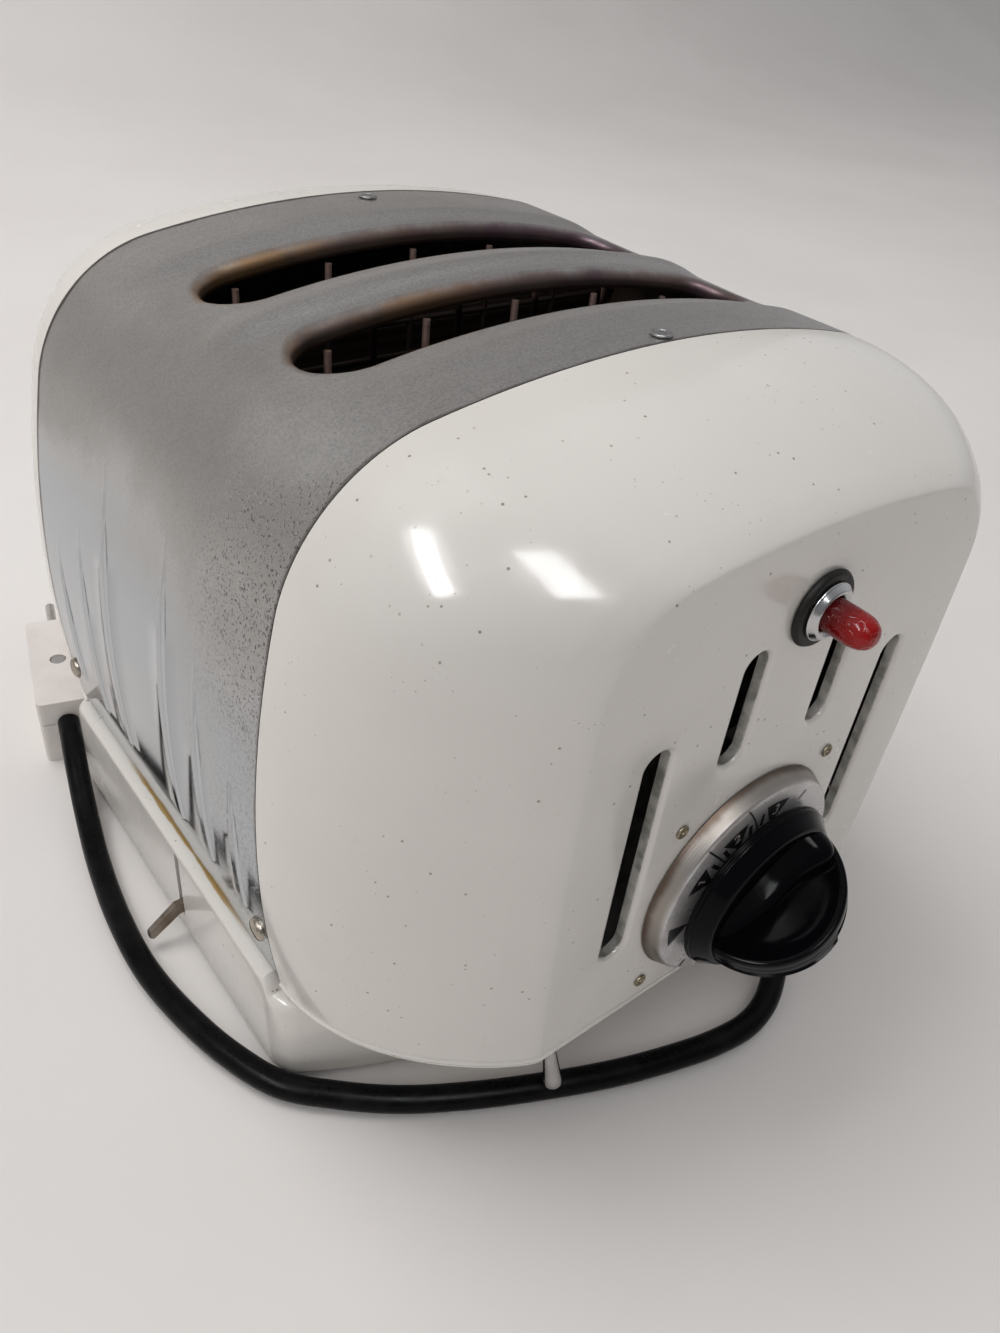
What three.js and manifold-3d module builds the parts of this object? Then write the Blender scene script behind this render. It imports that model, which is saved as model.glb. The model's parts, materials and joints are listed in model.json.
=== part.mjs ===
// Two-slice toaster with enamelled end caps round a chromed wrap, modelled in millimetres, +Z up.
// The front faces -Y and the bread slots run along X.

import * as THREE from 'three';
import { mergeVertices } from 'three/addons/utils/BufferGeometryUtils.js';
import Module from 'manifold-3d';

const wasm = await Module();
wasm.setup();

// Body section seen from the front: barrelled sides, round shoulders, crowned top
const body = {
  halfWide: 122.8, wideHeight: 98, sideRadius: 344, cornerRadius: 52, crownRadius: 360, height: 218.6,
};
const wrapHalfLength = 77.6;
const wrapFoot = 43.2;
const sheet = 1.2;

// Control facet: the flat end of the caps, of the same form but smaller
const facet = {
  halfWide: 74.5, wideHeight: 130, sideRadius: 1200, cornerRadius: 30, crownRadius: 330, height: 198.7,
};
const capFoot = 37.8;
const frontCapDepth = 63;
const rearCapDepth = 50;
const domeShare = 1.4;
const tongueLength = 12;
const frontCreaseShares = { before: 0.9, after: 1.06 };
const rearCreaseShares = { before: 0.72, after: 1.4 };

// Clearances: seat is between pieces that rest on or in each other, run is round what moves
const seat = 0.3;
const run = 0.5;
const overrun = 20;

// Inner chassis: end plates across X, baffles across Y, elements and guards between them
const endPlateMargin = 27.3;
const endPlateEndMargin = 11.6;
const endPlateTopMargin = 22.6;
const endPlateX = body.halfWide - endPlateMargin;
const endPlateHalfY = wrapHalfLength - endPlateEndMargin;
const endPlateTop = body.height - endPlateTopMargin;
const endFlange = 5;
const baffleOverhang = 4.5;
const baffleTopDrop = 8;
const baffleHalfX = endPlateX + baffleOverhang;
const baffleTop = endPlateTop - baffleTopDrop;
const elementSheet = 2;
const elementFoot = 50;
const elementTopDrop = 10;
const elementTop = endPlateTop - elementTopDrop;
const elementNotch = 3;
const elementNotchCount = 9;
const guardWireRadius = 1.1;
const guardFoot = 62;
const guardTopDrop = 2;
const guardTop = endPlateTop - guardTopDrop;
const guardRailDrop = 8;
const guardWireCount = 5;
const guardSideMargin = 31.5;
const guardPitch = (2 * (endPlateX - guardSideMargin)) / (guardWireCount - 1);

// Bread slots in the wrap, each midway between two elements
const elementInset = 19;
const elementOffset = endPlateHalfY - elementInset;
const guardOffset = 13.6;
const slotHalfWide = 13.5;
const slotInset = 15.5;
const slotShift = 3.9;
const slotOffset = elementOffset / 2 + slotShift;
const slotHalfLength = endPlateX - slotInset;
const slotLipDepth = 9;

// Base skirt in plan: straight sides, bowed front and back, round corners
const skirtSetback = 0.3;
const skirtHalfWide = body.halfWide - skirtSetback;
const skirtOverhang = 40.4;
const skirtApex = wrapHalfLength + skirtOverhang;
const skirtBowRadius = 232;
const skirtCornerRadius = 12;
const skirtFoot = 3;
const deckGap = 0.8;
const skirtTop = capFoot - deckGap;
const skirtSheet = 1.5;
const curbSetback = 0.6;
const curbHalfLength = wrapHalfLength - curbSetback;
const curbWidth = 7;
const curbRound = 3;

// Bottom plate and rubber feet
const bottomSheet = 1.2;
const bottomHeight = 4;
const footRadius = 9;
const footInsetX = 24.5;
const footInsetY = 5;
const footX = skirtHalfWide - footInsetX;
const footY = curbHalfLength - footInsetY;
const footStudRadius = 2.2;
const footStudLength = 4;
const footToeShare = 0.86;

// Bread lift: two racks, a carriage on a guide rod, and a finger lever through a slot in the skirt
const liftTravel = 22;
const rackHeight = 80;
const rackThick = 2.5;
const rackHalfWide = 4;
const rackTail = 2.5;
const rackFingerPitch = 44;
const rackFingerCount = 4;
const rackFingerWidth = 6;
const rackFingerReach = 11;
const carriageGap = 5.3;
const carriageOverhang = 5.6;
const carriageX = endPlateX + sheet + carriageGap;
const carriageThick = 1.7;
const carriageHalfY = slotOffset + carriageOverhang;
const carriageDrop = 4;
const carriageRise = 8;
const stemWidth = 8;
const guideGap = 7;
const guideX = carriageX + guideGap;
const guideY = 6;
const guideRadius = 2.5;
const guideRise = 50;
const guideTop = rackHeight + guideRise;
const guideTabReach = 5;
const sleeveRadius = 4.5;
const sleeveLength = 20;
const leverY = -13;
const leverThick = 2.4;
const leverHeight = 5;
const leverFoot = 11;
const leverKnee = 2.5;
const leverReach = 10.5;
const leverDrop = 7;
const leverNotchHalfY = 5;

// Crumb tray, drawn out to the right under an opening in the deck
const deckOpeningHalfX = endPlateX - endFlange - run;
const deckOpeningInset = 8;
const deckOpeningHalfY = endPlateHalfY - deckOpeningInset;
const trayHalfY = deckOpeningHalfY;
const trayHeight = 11;
const traySheet = 1;
const trayEndGap = 1.5;
const trayInnerEnd = endPlateX - trayEndGap;
const trayFaceMargin = 5;
const trayFaceThick = 1.5;
const trayLip = 7;

// Control floor under the front cap
const floorSheet = 1.2;

// Vents in the control facet: two long outer ones and two short inner ones
const ventHalfWide = 4.7;
const ventLip = 1;
const ventLipDepth = 4;
const outerVent = { x: 47.5, foot: 70.4, top: 147.3 };
const innerVent = { x: 18, foot: 129, top: 165.7 };

// Dial, timer and knob
const dialHeight = 80;
const dialRadius = 37.2;
const dialRise = 5.7;
const dialBevel = 2.4;
const dialSheet = 1.2;
const dialBore = 6;
const rivetX = 31;
const rivetZ = 32;
const rivetHeadRadius = 2.2;
const rivetHeadRise = 1;
const rivetRadius = 1.5;
const timerFlangeHalf = 36.5;
const timerFlangeThick = 1.5;
const timerRadius = 30;
const timerDepth = 37;
const shaftRadius = 3;
const shaftInside = 12;
const shaftOutside = 17;
const knobNeckRadius = 17;
const knobNeckHeight = 2;
const knobRimRadius = 28.8;
const knobRimThick = 2.5;
const knobConeRadius = 25;
const knobConeHeight = 4.2;
const knobShoulderHalfWide = 8;
const knobShoulderHeight = 7;
const knobShoulderPeakShare = 0.7;
const knobBladeHalfThick = 4;
const knobBladeRadius = 25.4;
const knobOffAngle = 240;

// Lamp on the facet
const lampDrop = 25;
const lampHeight = facet.height - lampDrop;
const lampWasherRadius = 11;
const lampWasherThick = 2;
const lampBezelRadius = 8.2;
const lampBezelFrontRadius = 6.6;
const lampBezelThick = 2.4;
const lampTubeRadius = 6;
const lampLensRadius = 4.75;
const lampLensReach = 12;
const lensNoseShares = { wide: 0.87, rise: 0.13 };
const lampNutFlat = 8;
const lampNutThick = 4;

// Toggle switch through the control floor
const switchX = -57.5;
const switchY = -131.5;
const switchHalfX = 8;
const switchHalfY = 6.5;
const switchHeight = 22;
const bushRadius = 6;
const bushBore = 3.9;
const bushReach = 9;
const switchNutFlat = 7;
const switchNutThick = 2.6;
const batLength = 22.5;
const batNeckRadius = 1.9;
const batTipRadius = 3.2;
const batBallRadius = 3.5;
const batTilt = 19;
const batShares = { ball: 0.7, neck: 0.8, nose: 0.75 };

// Fasteners that show on the wrap
const screwHeadRadius = 4;
const screwHeadRise = 2;
const screwRadius = 2;
const screwLength = 6;
const screwHeight = 61.6;
const screwInset = 5.6;
const topRivetRadius = 3.2;
const topRivetInsets = { front: 4.1, rear: 8 };
const headShares = { edge: 0.94, edgeRise: 0.45, crown: 0.66, crownRise: 0.84 };

// Mains terminals, cord gland, cord and plug
const terminalX = 52;
const terminalY = -104;
const terminalHalfX = 22;
const terminalHalfY = 7;
const terminalHeight = 14;
const terminalScrewRadius = 2.5;
const terminalScrewPitch = 14;
const glandX = 50;
const glandHeight = 16;
const glandNeckRadius = 6.2;
const glandFlangeRadius = 8.5;
const glandFlangeThick = 2;
const glandTipRadius = 5.2;
const glandTip = 10.5;
const glandTail = 14;
const cordRadius = 4.25;
const cordSides = 8;
const cordSteps = 30;
const cordRoute = [
  [50, -123.6, 16], [50, -129, 15.7], [48.2, -137, 13.4], [43, -145.2, 9.8], [35.4, -151, 7],
  [26.5, -155, 5.2], [16, -156.6, 4.4], [2, -155, 4.3], [-14, -150.8, 4.3], [-34, -144, 4.3],
  [-57, -133.9, 4.3], [-79, -122.8, 4.3], [-97, -111.8, 4.3], [-112, -99.6, 4.3], [-124.2, -87, 4.3],
  [-132, -70, 4.3], [-137.6, -49.7, 4.3], [-141.2, -25.5, 4.3], [-140.6, 1.3, 4.3], [-137, 29.9, 4.6],
  [-133.6, 48, 7], [-130.6, 62, 11.4], [-127.8, 74, 16.4], [-125.2, 84.6, 19.4], [-122.8, 94.2, 20],
];
const plugLength = 60;
const plugHalfWide = 11;
const plugHeight = 30;
const plugSplit = 19;
const plugRound = 2.5;
const plugPinRadius = 2;
const plugPinLength = 19;
const plugPinPitch = 9.5;
const plugScrewRadius = 3;
const plugScrewDepth = 3;

// Facets on round pieces
const sideSteps = 5;
const cornerSteps = 7;
const crownSteps = 5;
const domeSteps = 6;
const creaseSteps = 3;
const roundSides = 32;
const smallSides = 12;
const wireSides = 6;
const hexSides = 6;
const slotSegments = 8;

// Levels that several pieces share
const frontSeam = -(wrapHalfLength + seat);
const rearSeam = wrapHalfLength + seat;
const frontFace = frontSeam - frontCapDepth;
const frontInner = frontFace + sheet;
const deckTop = skirtTop;
const deckUnder = skirtTop - skirtSheet;
const chassisFoot = deckTop + seat;
const controlFloor = capFoot + seat;
const controlFloorTop = controlFloor + floorSheet;

// Solids

function toSolid(geometry) {
  const plain = geometry.clone();
  plain.deleteAttribute('normal');
  plain.deleteAttribute('uv');
  const merged = mergeVertices(plain, 1e-4);
  const vertProperties = new Float32Array(merged.attributes.position.array);
  const triVerts = new Uint32Array(merged.index.array);
  return new wasm.Manifold(new wasm.Mesh({ numProp: 3, vertProperties, triVerts }));
}

function fromSolid(solid) {
  const mesh = solid.getMesh();
  const geometry = new THREE.BufferGeometry();
  geometry.setAttribute('position', new THREE.BufferAttribute(new Float32Array(mesh.vertProperties), 3));
  geometry.setIndex(new THREE.BufferAttribute(new Uint32Array(mesh.triVerts), 1));
  geometry.computeVertexNormals();
  return geometry;
}

function join(...geometries) {
  return fromSolid(geometries.map(toSolid).reduce((sum, solid) => sum.add(solid)));
}

function cut(geometry, ...tools) {
  return fromSolid(tools.map(toSolid).reduce((left, tool) => left.subtract(tool), toSolid(geometry)));
}

function common(geometry, other) {
  return fromSolid(toSolid(geometry).intersect(toSolid(other)));
}

function box(x0, x1, y0, y1, z0, z1) {
  const geometry = new THREE.BoxGeometry(x1 - x0, y1 - y0, z1 - z0);
  return geometry.translate((x0 + x1) / 2, (y0 + y1) / 2, (z0 + z1) / 2);
}

// A shape drawn in X and Z, as thick as y0 to y1
function plateY(shape, y0, y1, curveSegments = slotSegments) {
  const geometry = new THREE.ExtrudeGeometry(shape, { depth: y1 - y0, bevelEnabled: false, curveSegments });
  return geometry.rotateX(Math.PI / 2).translate(0, y1, 0);
}

// A shape drawn in X and Y, as thick as z0 to z1
function plateZ(shape, z0, z1, curveSegments = slotSegments) {
  const geometry = new THREE.ExtrudeGeometry(shape, { depth: z1 - z0, bevelEnabled: false, curveSegments });
  return geometry.translate(0, 0, z0);
}

// A turned piece: its profile is [radius, distance along the axis], the axis starts at a point
function turned(profile, start, axis, sides = smallSides) {
  const points = profile.map(([radius, along]) => new THREE.Vector2(radius, along));
  const geometry = new THREE.LatheGeometry(points, sides);
  const turn = new THREE.Quaternion().setFromUnitVectors(new THREE.Vector3(0, 1, 0), axis);
  return geometry.applyQuaternion(turn).translate(start.x, start.y, start.z);
}

function cylinder(radius, start, axis, length, sides = smallSides) {
  return turned([[0, 0], [radius, 0], [radius, length], [0, length]], start, axis, sides);
}

const left = new THREE.Vector3(-1, 0, 0);
const right = new THREE.Vector3(1, 0, 0);
const forward = new THREE.Vector3(0, -1, 0);
const back = new THREE.Vector3(0, 1, 0);
const up = new THREE.Vector3(0, 0, 1);
const down = new THREE.Vector3(0, 0, -1);

function rectangle(u0, u1, v0, v1) {
  return new THREE.Shape([
    new THREE.Vector2(u0, v0), new THREE.Vector2(u1, v0), new THREE.Vector2(u1, v1), new THREE.Vector2(u0, v1),
  ]);
}

// A slot with round ends, from u0 to u1 along its first or second coordinate
function longSlot(centreU, centreV, halfLength, radius, upright) {
  const shape = new THREE.Shape();
  const straight = halfLength - radius;
  if (upright) {
    shape.absarc(centreU, centreV + straight, radius, 0, Math.PI, false);
    shape.absarc(centreU, centreV - straight, radius, Math.PI, 2 * Math.PI, false);
  } else {
    shape.absarc(centreU + straight, centreV, radius, -Math.PI / 2, Math.PI / 2, false);
    shape.absarc(centreU - straight, centreV, radius, Math.PI / 2, 1.5 * Math.PI, false);
  }
  shape.closePath();
  return shape;
}

// A nut whose flats lie at flatRadius from its axis
function hexNut(bore, flatRadius, start, axis, thick) {
  const blank = cylinder(flatRadius / Math.cos(Math.PI / hexSides), start, axis, thick, hexSides);
  const hole = cylinder(bore, start.clone().addScaledVector(axis, -overrun / 2), axis, thick + overrun);
  return cut(blank, hole);
}

// Body outline

// Where the shoulder's circle sits so that it runs smoothly into the side and the crown
function sectionCentres(section) {
  const side = new THREE.Vector2(section.halfWide - section.sideRadius, section.wideHeight);
  const crown = new THREE.Vector2(0, section.height - section.crownRadius);
  const fromSide = section.sideRadius - section.cornerRadius;
  const fromCrown = section.crownRadius - section.cornerRadius;
  const between = crown.clone().sub(side);
  const distance = between.length();
  const along = (fromSide ** 2 - fromCrown ** 2 + distance ** 2) / (2 * distance);
  const across = Math.sqrt(Math.max(fromSide ** 2 - along ** 2, 0));
  const unit = between.clone().normalize();
  const normal = new THREE.Vector2(-unit.y, unit.x);
  const options = [across, -across].map(
    (offset) => side.clone().addScaledVector(unit, along).addScaledVector(normal, offset),
  );
  const corner = options.reduce((best, point) => (point.x + point.y > best.x + best.y ? point : best));
  return { side, corner, crown };
}

// Points from the right foot over the crown to the left foot, moved inwards by inset
function sectionOutline(section, inset, foot) {
  const { side, corner, crown } = sectionCentres(section);
  const sideRadius = section.sideRadius - inset;
  const cornerRadius = section.cornerRadius - inset;
  const crownRadius = section.crownRadius - inset;
  const angleOf = (centre) => Math.atan2(corner.y - centre.y, corner.x - centre.x);
  const half = [];
  const arc = (centre, radius, from, to, steps) => {
    for (let i = 0; i < steps; i += 1) {
      const angle = from + ((to - from) * i) / steps;
      half.push(new THREE.Vector2(centre.x + radius * Math.cos(angle), centre.y + radius * Math.sin(angle)));
    }
  };
  const shoulderStart = angleOf(side);
  const shoulderEnd = angleOf(crown);
  arc(side, sideRadius, Math.asin((foot - side.y) / sideRadius), shoulderStart, sideSteps);
  arc(corner, cornerRadius, shoulderStart, shoulderEnd, cornerSteps);
  arc(crown, crownRadius, shoulderEnd, Math.PI / 2, crownSteps);
  const mirrored = half.map((point) => new THREE.Vector2(-point.x, point.y)).reverse();
  return [...half, new THREE.Vector2(0, crown.y + crownRadius), ...mirrored];
}

function sectionSolid(inset, foot, y0, y1) {
  return plateY(new THREE.Shape(sectionOutline(body, inset, foot)), y0, y1);
}

// Rings of points, each a closed outline, become one closed skin with fanned ends
function loft(rings) {
  const count = rings[0].length;
  const positions = rings.flat().flatMap((point) => [point.x, point.y, point.z]);
  const index = [];
  for (let ring = 0; ring < rings.length - 1; ring += 1) {
    for (let i = 0; i < count; i += 1) {
      const next = (i + 1) % count;
      const a = ring * count + i;
      const b = ring * count + next;
      index.push(a, b, b + count, a, b + count, a + count);
    }
  }
  for (const [ring, flip] of [[0, true], [rings.length - 1, false]]) {
    const centre = new THREE.Vector3();
    rings[ring].forEach((point) => centre.addScaledVector(point, 1 / count));
    const hub = positions.length / 3;
    positions.push(centre.x, centre.y, centre.z);
    for (let i = 0; i < count; i += 1) {
      const a = ring * count + i;
      const b = ring * count + ((i + 1) % count);
      index.push(...(flip ? [hub, b, a] : [hub, a, b]));
    }
  }
  const geometry = new THREE.BufferGeometry();
  geometry.setAttribute('position', new THREE.Float32BufferAttribute(positions, 3));
  geometry.setIndex(index);
  return geometry;
}

// How far the dome has drawn in at a depth, from none at the seam to all at the facet
function domeStage(depth, fullDepth) {
  const radius = domeShare * fullDepth;
  const drop = (d) => radius - Math.sqrt(radius ** 2 - d ** 2);
  return drop(depth) / drop(fullDepth);
}

// Depth and stage of each ring: an elliptic dome, then a soft crease, then the flat facet
function domeStations(fullDepth, crease) {
  const stations = [];
  const start = fullDepth * crease.before;
  for (let i = 0; i <= domeSteps; i += 1) {
    const depth = start * Math.sin((i / domeSteps) * (Math.PI / 2));
    stations.push([depth, domeStage(depth, fullDepth)]);
  }
  const startStage = domeStage(start, fullDepth);
  for (let i = 1; i <= creaseSteps; i += 1) {
    const t = i / creaseSteps;
    const depth = (1 - t) ** 2 * start + 2 * t * (1 - t) * fullDepth + t ** 2 * fullDepth;
    const stage = (1 - t) ** 2 * startStage + 2 * t * (1 - t) + t ** 2 * crease.after;
    stations.push([depth, stage]);
  }
  return stations;
}

function capRings(depth, crease, inset, foot, seam, side, backwards) {
  const outer = sectionOutline(body, inset, foot);
  const inner = sectionOutline(facet, inset, foot);
  const stations = domeStations(depth, crease);
  const reach = (depth - inset) / depth;
  const rings = stations.map(([d, stage]) => outer.map((point, i) => {
    const flat = point.clone().lerp(inner[i], stage);
    return new THREE.Vector3(flat.x, seam + side * d * reach, flat.y);
  }));
  if (backwards > 0) {
    rings.unshift(rings[0].map((point) => point.clone().setY(point.y - side * backwards)));
  }
  return rings;
}

// A strip that follows the section from foot to foot, between two insets
function sectionStrip(insetOutside, insetInside, foot, y0, y1) {
  const outline = [
    ...sectionOutline(body, insetOutside, foot),
    ...sectionOutline(body, insetInside, foot).reverse(),
  ];
  return plateY(new THREE.Shape(outline), Math.min(y0, y1), Math.max(y0, y1));
}

// A domed shell with a joggled tongue, which slips inside the wrap and takes its screws and rivet
function capShell(depth, crease, seam, side) {
  const outside = loft(capRings(depth, crease, 0, capFoot, seam, side, 0));
  const inside = loft(capRings(depth, crease, sheet, capFoot - overrun, seam, side, overrun));
  const shell = cut(side < 0 ? outside : flipped(outside), side < 0 ? inside : flipped(inside));
  const tongueInset = sheet + seat;
  const joggle = sectionStrip(sheet / 2, tongueInset + sheet, wrapFoot, seam, seam + side * sheet);
  const tongue = sectionStrip(
    tongueInset, tongueInset + sheet, wrapFoot, seam + side * sheet, side * (wrapHalfLength - tongueLength),
  );
  return cut(join(shell, joggle, tongue), ...seamHoles(side));
}

function flipped(geometry) {
  const index = Array.from(geometry.index.array);
  for (let i = 0; i < index.length; i += 3) {
    [index[i + 1], index[i + 2]] = [index[i + 2], index[i + 1]];
  }
  geometry.setIndex(index);
  return geometry;
}

// Caps

function frontCap() {
  let shell = capShell(frontCapDepth, frontCreaseShares, frontSeam, -1);
  const lips = [];
  const openings = [];
  for (const vent of [outerVent, innerVent]) {
    for (const x of [-vent.x, vent.x]) {
      const middle = (vent.foot + vent.top) / 2;
      const half = (vent.top - vent.foot) / 2;
      const lip = longSlot(x, middle, half + ventLip, ventHalfWide + ventLip, true);
      const opening = longSlot(x, middle, half, ventHalfWide, true);
      lips.push(plateY(lip, frontFace, frontFace + sheet + ventLipDepth));
      openings.push(plateY(opening, frontFace - overrun, frontFace + overrun));
    }
  }
  shell = join(shell, ...lips);
  const holes = [
    cylinder(lampTubeRadius + seat, new THREE.Vector3(0, frontFace - overrun, lampHeight), back, 2 * overrun),
    cylinder(dialBore, new THREE.Vector3(0, frontFace - overrun, dialHeight), back, 2 * overrun),
    ...rivetPlaces().map((place) => cylinder(
      rivetRadius + seat, new THREE.Vector3(place.x, frontFace - overrun, place.z), back, 2 * overrun,
    )),
  ];
  return cut(shell, ...openings, ...holes);
}

function rearCap() {
  return capShell(rearCapDepth, rearCreaseShares, rearSeam, 1);
}

function rivetPlaces() {
  const places = [];
  for (const z of [dialHeight - rivetZ, dialHeight + rivetZ]) {
    for (const x of [-rivetX, rivetX]) {
      places.push(new THREE.Vector3(x, frontFace, z));
    }
  }
  return places;
}

// Wrap with its two lipped bread slots

function bodyWrap() {
  let wrap = sectionStrip(0, sheet, wrapFoot, -wrapHalfLength, wrapHalfLength);
  const outside = sectionSolid(0, wrapFoot, -wrapHalfLength, wrapHalfLength);
  const core = sectionSolid(slotLipDepth, wrapFoot - overrun, -wrapHalfLength, wrapHalfLength);
  for (const y of [-slotOffset, slotOffset]) {
    const lip = longSlot(0, y, slotHalfLength + sheet, slotHalfWide + sheet, false);
    const opening = longSlot(0, y, slotHalfLength, slotHalfWide, false);
    const ring = cut(common(plateZ(lip, body.height - 3 * overrun, body.height + overrun), outside), core);
    wrap = cut(join(wrap, ring), plateZ(opening, body.height - 3 * overrun, body.height + overrun));
  }
  return cut(wrap, ...seamHoles(-1), ...seamHoles(1));
}

function topRivetY(side) {
  return side * (wrapHalfLength - (side < 0 ? topRivetInsets.front : topRivetInsets.rear));
}

// Holes for the screws and the rivet along one seam
function seamHoles(side) {
  const top = new THREE.Vector3(0, topRivetY(side), body.height - overrun / 2);
  const holes = [cylinder(rivetRadius + seat, top, up, overrun)];
  for (const place of screwPlaces().filter(({ point }) => point.y * side > 0)) {
    const start = place.point.clone().addScaledVector(place.axis, overrun / 2);
    holes.push(cylinder(screwRadius + seat, start, place.axis.clone().negate(), overrun));
  }
  return holes;
}

function sideAt(height) {
  const centre = body.halfWide - body.sideRadius;
  return centre + Math.sqrt(body.sideRadius ** 2 - (height - body.wideHeight) ** 2);
}

function screwPlaces() {
  const places = [];
  for (const x of [-1, 1]) {
    for (const y of [-1, 1]) {
      places.push({
        name: `side_screw_${y < 0 ? 'front' : 'rear'}_${x < 0 ? 'left' : 'right'}`,
        point: new THREE.Vector3(x * sideAt(screwHeight), y * (wrapHalfLength - screwInset), screwHeight),
        axis: x < 0 ? left : right,
      });
    }
  }
  return places;
}

// Dome head outside, shank inwards; the place is on the skin and the axis points out of it
function fastener(place, axis, headRadius, headRise, shankRadius, shankLength) {
  const profile = [
    [0, -shankLength], [shankRadius, -shankLength], [shankRadius, seat], [headRadius, seat],
    [headRadius * headShares.edge, seat + headRise * headShares.edgeRise],
    [headRadius * headShares.crown, seat + headRise * headShares.crownRise],
    [0, seat + headRise],
  ];
  return turned(profile, place, axis, smallSides);
}

// Base skirt

function skirtOutline(inset) {
  const halfWide = skirtHalfWide - skirtCornerRadius;
  const bowCentre = skirtBowRadius - skirtApex;
  const cornerY = Math.sqrt((skirtBowRadius - skirtCornerRadius) ** 2 - halfWide ** 2) - bowCentre;
  const bowAngle = Math.atan2(cornerY + bowCentre, halfWide);
  const radius = skirtCornerRadius - inset;
  const quarter = [];
  for (let i = 0; i <= crownSteps; i += 1) {
    const angle = (bowAngle * i) / crownSteps;
    quarter.push(new THREE.Vector2(halfWide + radius * Math.cos(angle), cornerY + radius * Math.sin(angle)));
  }
  for (let i = 1; i <= sideSteps; i += 1) {
    const angle = bowAngle + ((Math.PI / 2 - bowAngle) * i) / sideSteps;
    const bow = skirtBowRadius - inset;
    quarter.push(new THREE.Vector2(bow * Math.cos(angle), bow * Math.sin(angle) - bowCentre));
  }
  const leftBack = quarter.slice(0, -1).map((p) => new THREE.Vector2(-p.x, p.y)).reverse();
  const backHalf = [...quarter, ...leftBack];
  const frontHalf = backHalf.map((p) => new THREE.Vector2(p.x, -p.y)).reverse();
  return [...backHalf, ...frontHalf];
}

function skirtWallY(x) {
  return skirtBowRadius - skirtApex - Math.sqrt(skirtBowRadius ** 2 - x ** 2);
}

function curbShape(side, inset) {
  const outer = side * (skirtHalfWide - inset);
  const inner = side * (skirtHalfWide - curbWidth + inset);
  const top = wrapFoot - seat - inset;
  const low = inset > 0 ? deckUnder - overrun / 4 : deckUnder + skirtSheet / 2;
  const shape = new THREE.Shape();
  shape.moveTo(inner, low);
  shape.lineTo(outer, low);
  shape.lineTo(outer, top - curbRound);
  shape.quadraticCurveTo(outer, top, outer - side * curbRound, top);
  shape.lineTo(inner, top);
  shape.closePath();
  return shape;
}

function baseSkirt() {
  const outside = plateZ(new THREE.Shape(skirtOutline(0)), skirtFoot, skirtTop);
  const inside = plateZ(new THREE.Shape(skirtOutline(skirtSheet)), skirtFoot - overrun, deckUnder);
  const curbs = [-1, 1].map((side) => plateY(curbShape(side, 0), -curbHalfLength, curbHalfLength));
  const channels = [-1, 1].map((side) => plateY(
    curbShape(side, skirtSheet), -(curbHalfLength - skirtSheet), curbHalfLength - skirtSheet,
  ));
  const opening = plateZ(
    rectangle(-deckOpeningHalfX, deckOpeningHalfX, -deckOpeningHalfY, deckOpeningHalfY),
    deckUnder - overrun / 4, deckTop + overrun / 4,
  );
  const leverSlot = box(
    -skirtHalfWide - overrun, -skirtHalfWide + curbWidth / 2,
    leverY - leverThick / 2 - run, leverY + leverThick / 2 + run,
    leverFoot - run, leverFoot + leverHeight + liftTravel + run,
  );
  const liftNotch = box(
    -skirtHalfWide + skirtSheet, -(carriageX - run - seat),
    leverY - leverNotchHalfY, leverY + leverNotchHalfY, deckUnder - overrun / 4, deckTop + overrun / 4,
  );
  const trayDoor = box(
    skirtHalfWide - overrun / 4, skirtHalfWide + overrun,
    -(trayHalfY + run), trayHalfY + run, trayFloor() - seat, trayFloor() + trayHeight + run,
  );
  const cordHole = cylinder(
    glandNeckRadius + seat, new THREE.Vector3(glandX, skirtWallY(glandX) + overrun / 2, glandHeight), forward,
    overrun,
  );
  return cut(
    cut(join(outside, ...curbs), inside), ...channels, opening, leverSlot, liftNotch, trayDoor, cordHole,
  );
}

function bottomPlate() {
  const plate = plateZ(
    new THREE.Shape(skirtOutline(skirtSheet + seat)), bottomHeight, bottomHeight + bottomSheet,
  );
  const studs = footPlaces().map((place) => cylinder(
    footStudRadius + seat, new THREE.Vector3(place.x, place.y, bottomHeight - overrun / 2), up, overrun,
  ));
  return cut(plate, ...studs);
}

function footPlaces() {
  const places = [];
  for (const y of [-1, 1]) {
    for (const x of [-1, 1]) {
      const name = `foot_${y < 0 ? 'front' : 'rear'}_${x < 0 ? 'left' : 'right'}`;
      places.push({ name, x: x * footX, y: y * footY });
    }
  }
  return places;
}

function foot(place) {
  const top = bottomHeight - seat;
  const studTop = bottomHeight + bottomSheet + footStudLength;
  const profile = [
    [0, 0], [footRadius * footToeShare, 0], [footRadius, top / 2], [footRadius, top], [footStudRadius, top],
    [footStudRadius, studTop], [0, studTop],
  ];
  return turned(profile, new THREE.Vector3(place.x, place.y, 0), up);
}

// Crumb tray

function trayFloor() {
  return bottomHeight + bottomSheet + seat;
}

function trayReach() {
  return skirtHalfWide + seat + trayFaceThick + trayLip;
}

function crumbTray() {
  const low = trayFloor();
  const top = low + trayHeight;
  const faceX = skirtHalfWide + seat;
  const tub = cut(
    box(-trayInnerEnd, faceX + trayFaceThick / 2, -trayHalfY, trayHalfY, low, top),
    box(-trayInnerEnd + traySheet, faceX, -(trayHalfY - traySheet), trayHalfY - traySheet,
      low + traySheet, top + overrun),
  );
  const face = box(faceX, faceX + trayFaceThick, -(trayHalfY + trayFaceMargin), trayHalfY + trayFaceMargin,
    low - seat, top + trayFaceMargin);
  const lip = plateZ(
    longSlot(faceX + trayFaceThick, 0, trayHalfY / 2, trayLip, true), top - 2 * traySheet, top,
  );
  const lipHalf = common(lip, box(faceX, faceX + trayReach(), -trayHalfY, trayHalfY, low, top));
  return join(tub, face, lipHalf);
}

// Control floor: it closes the front cap underneath and carries the switch

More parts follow.
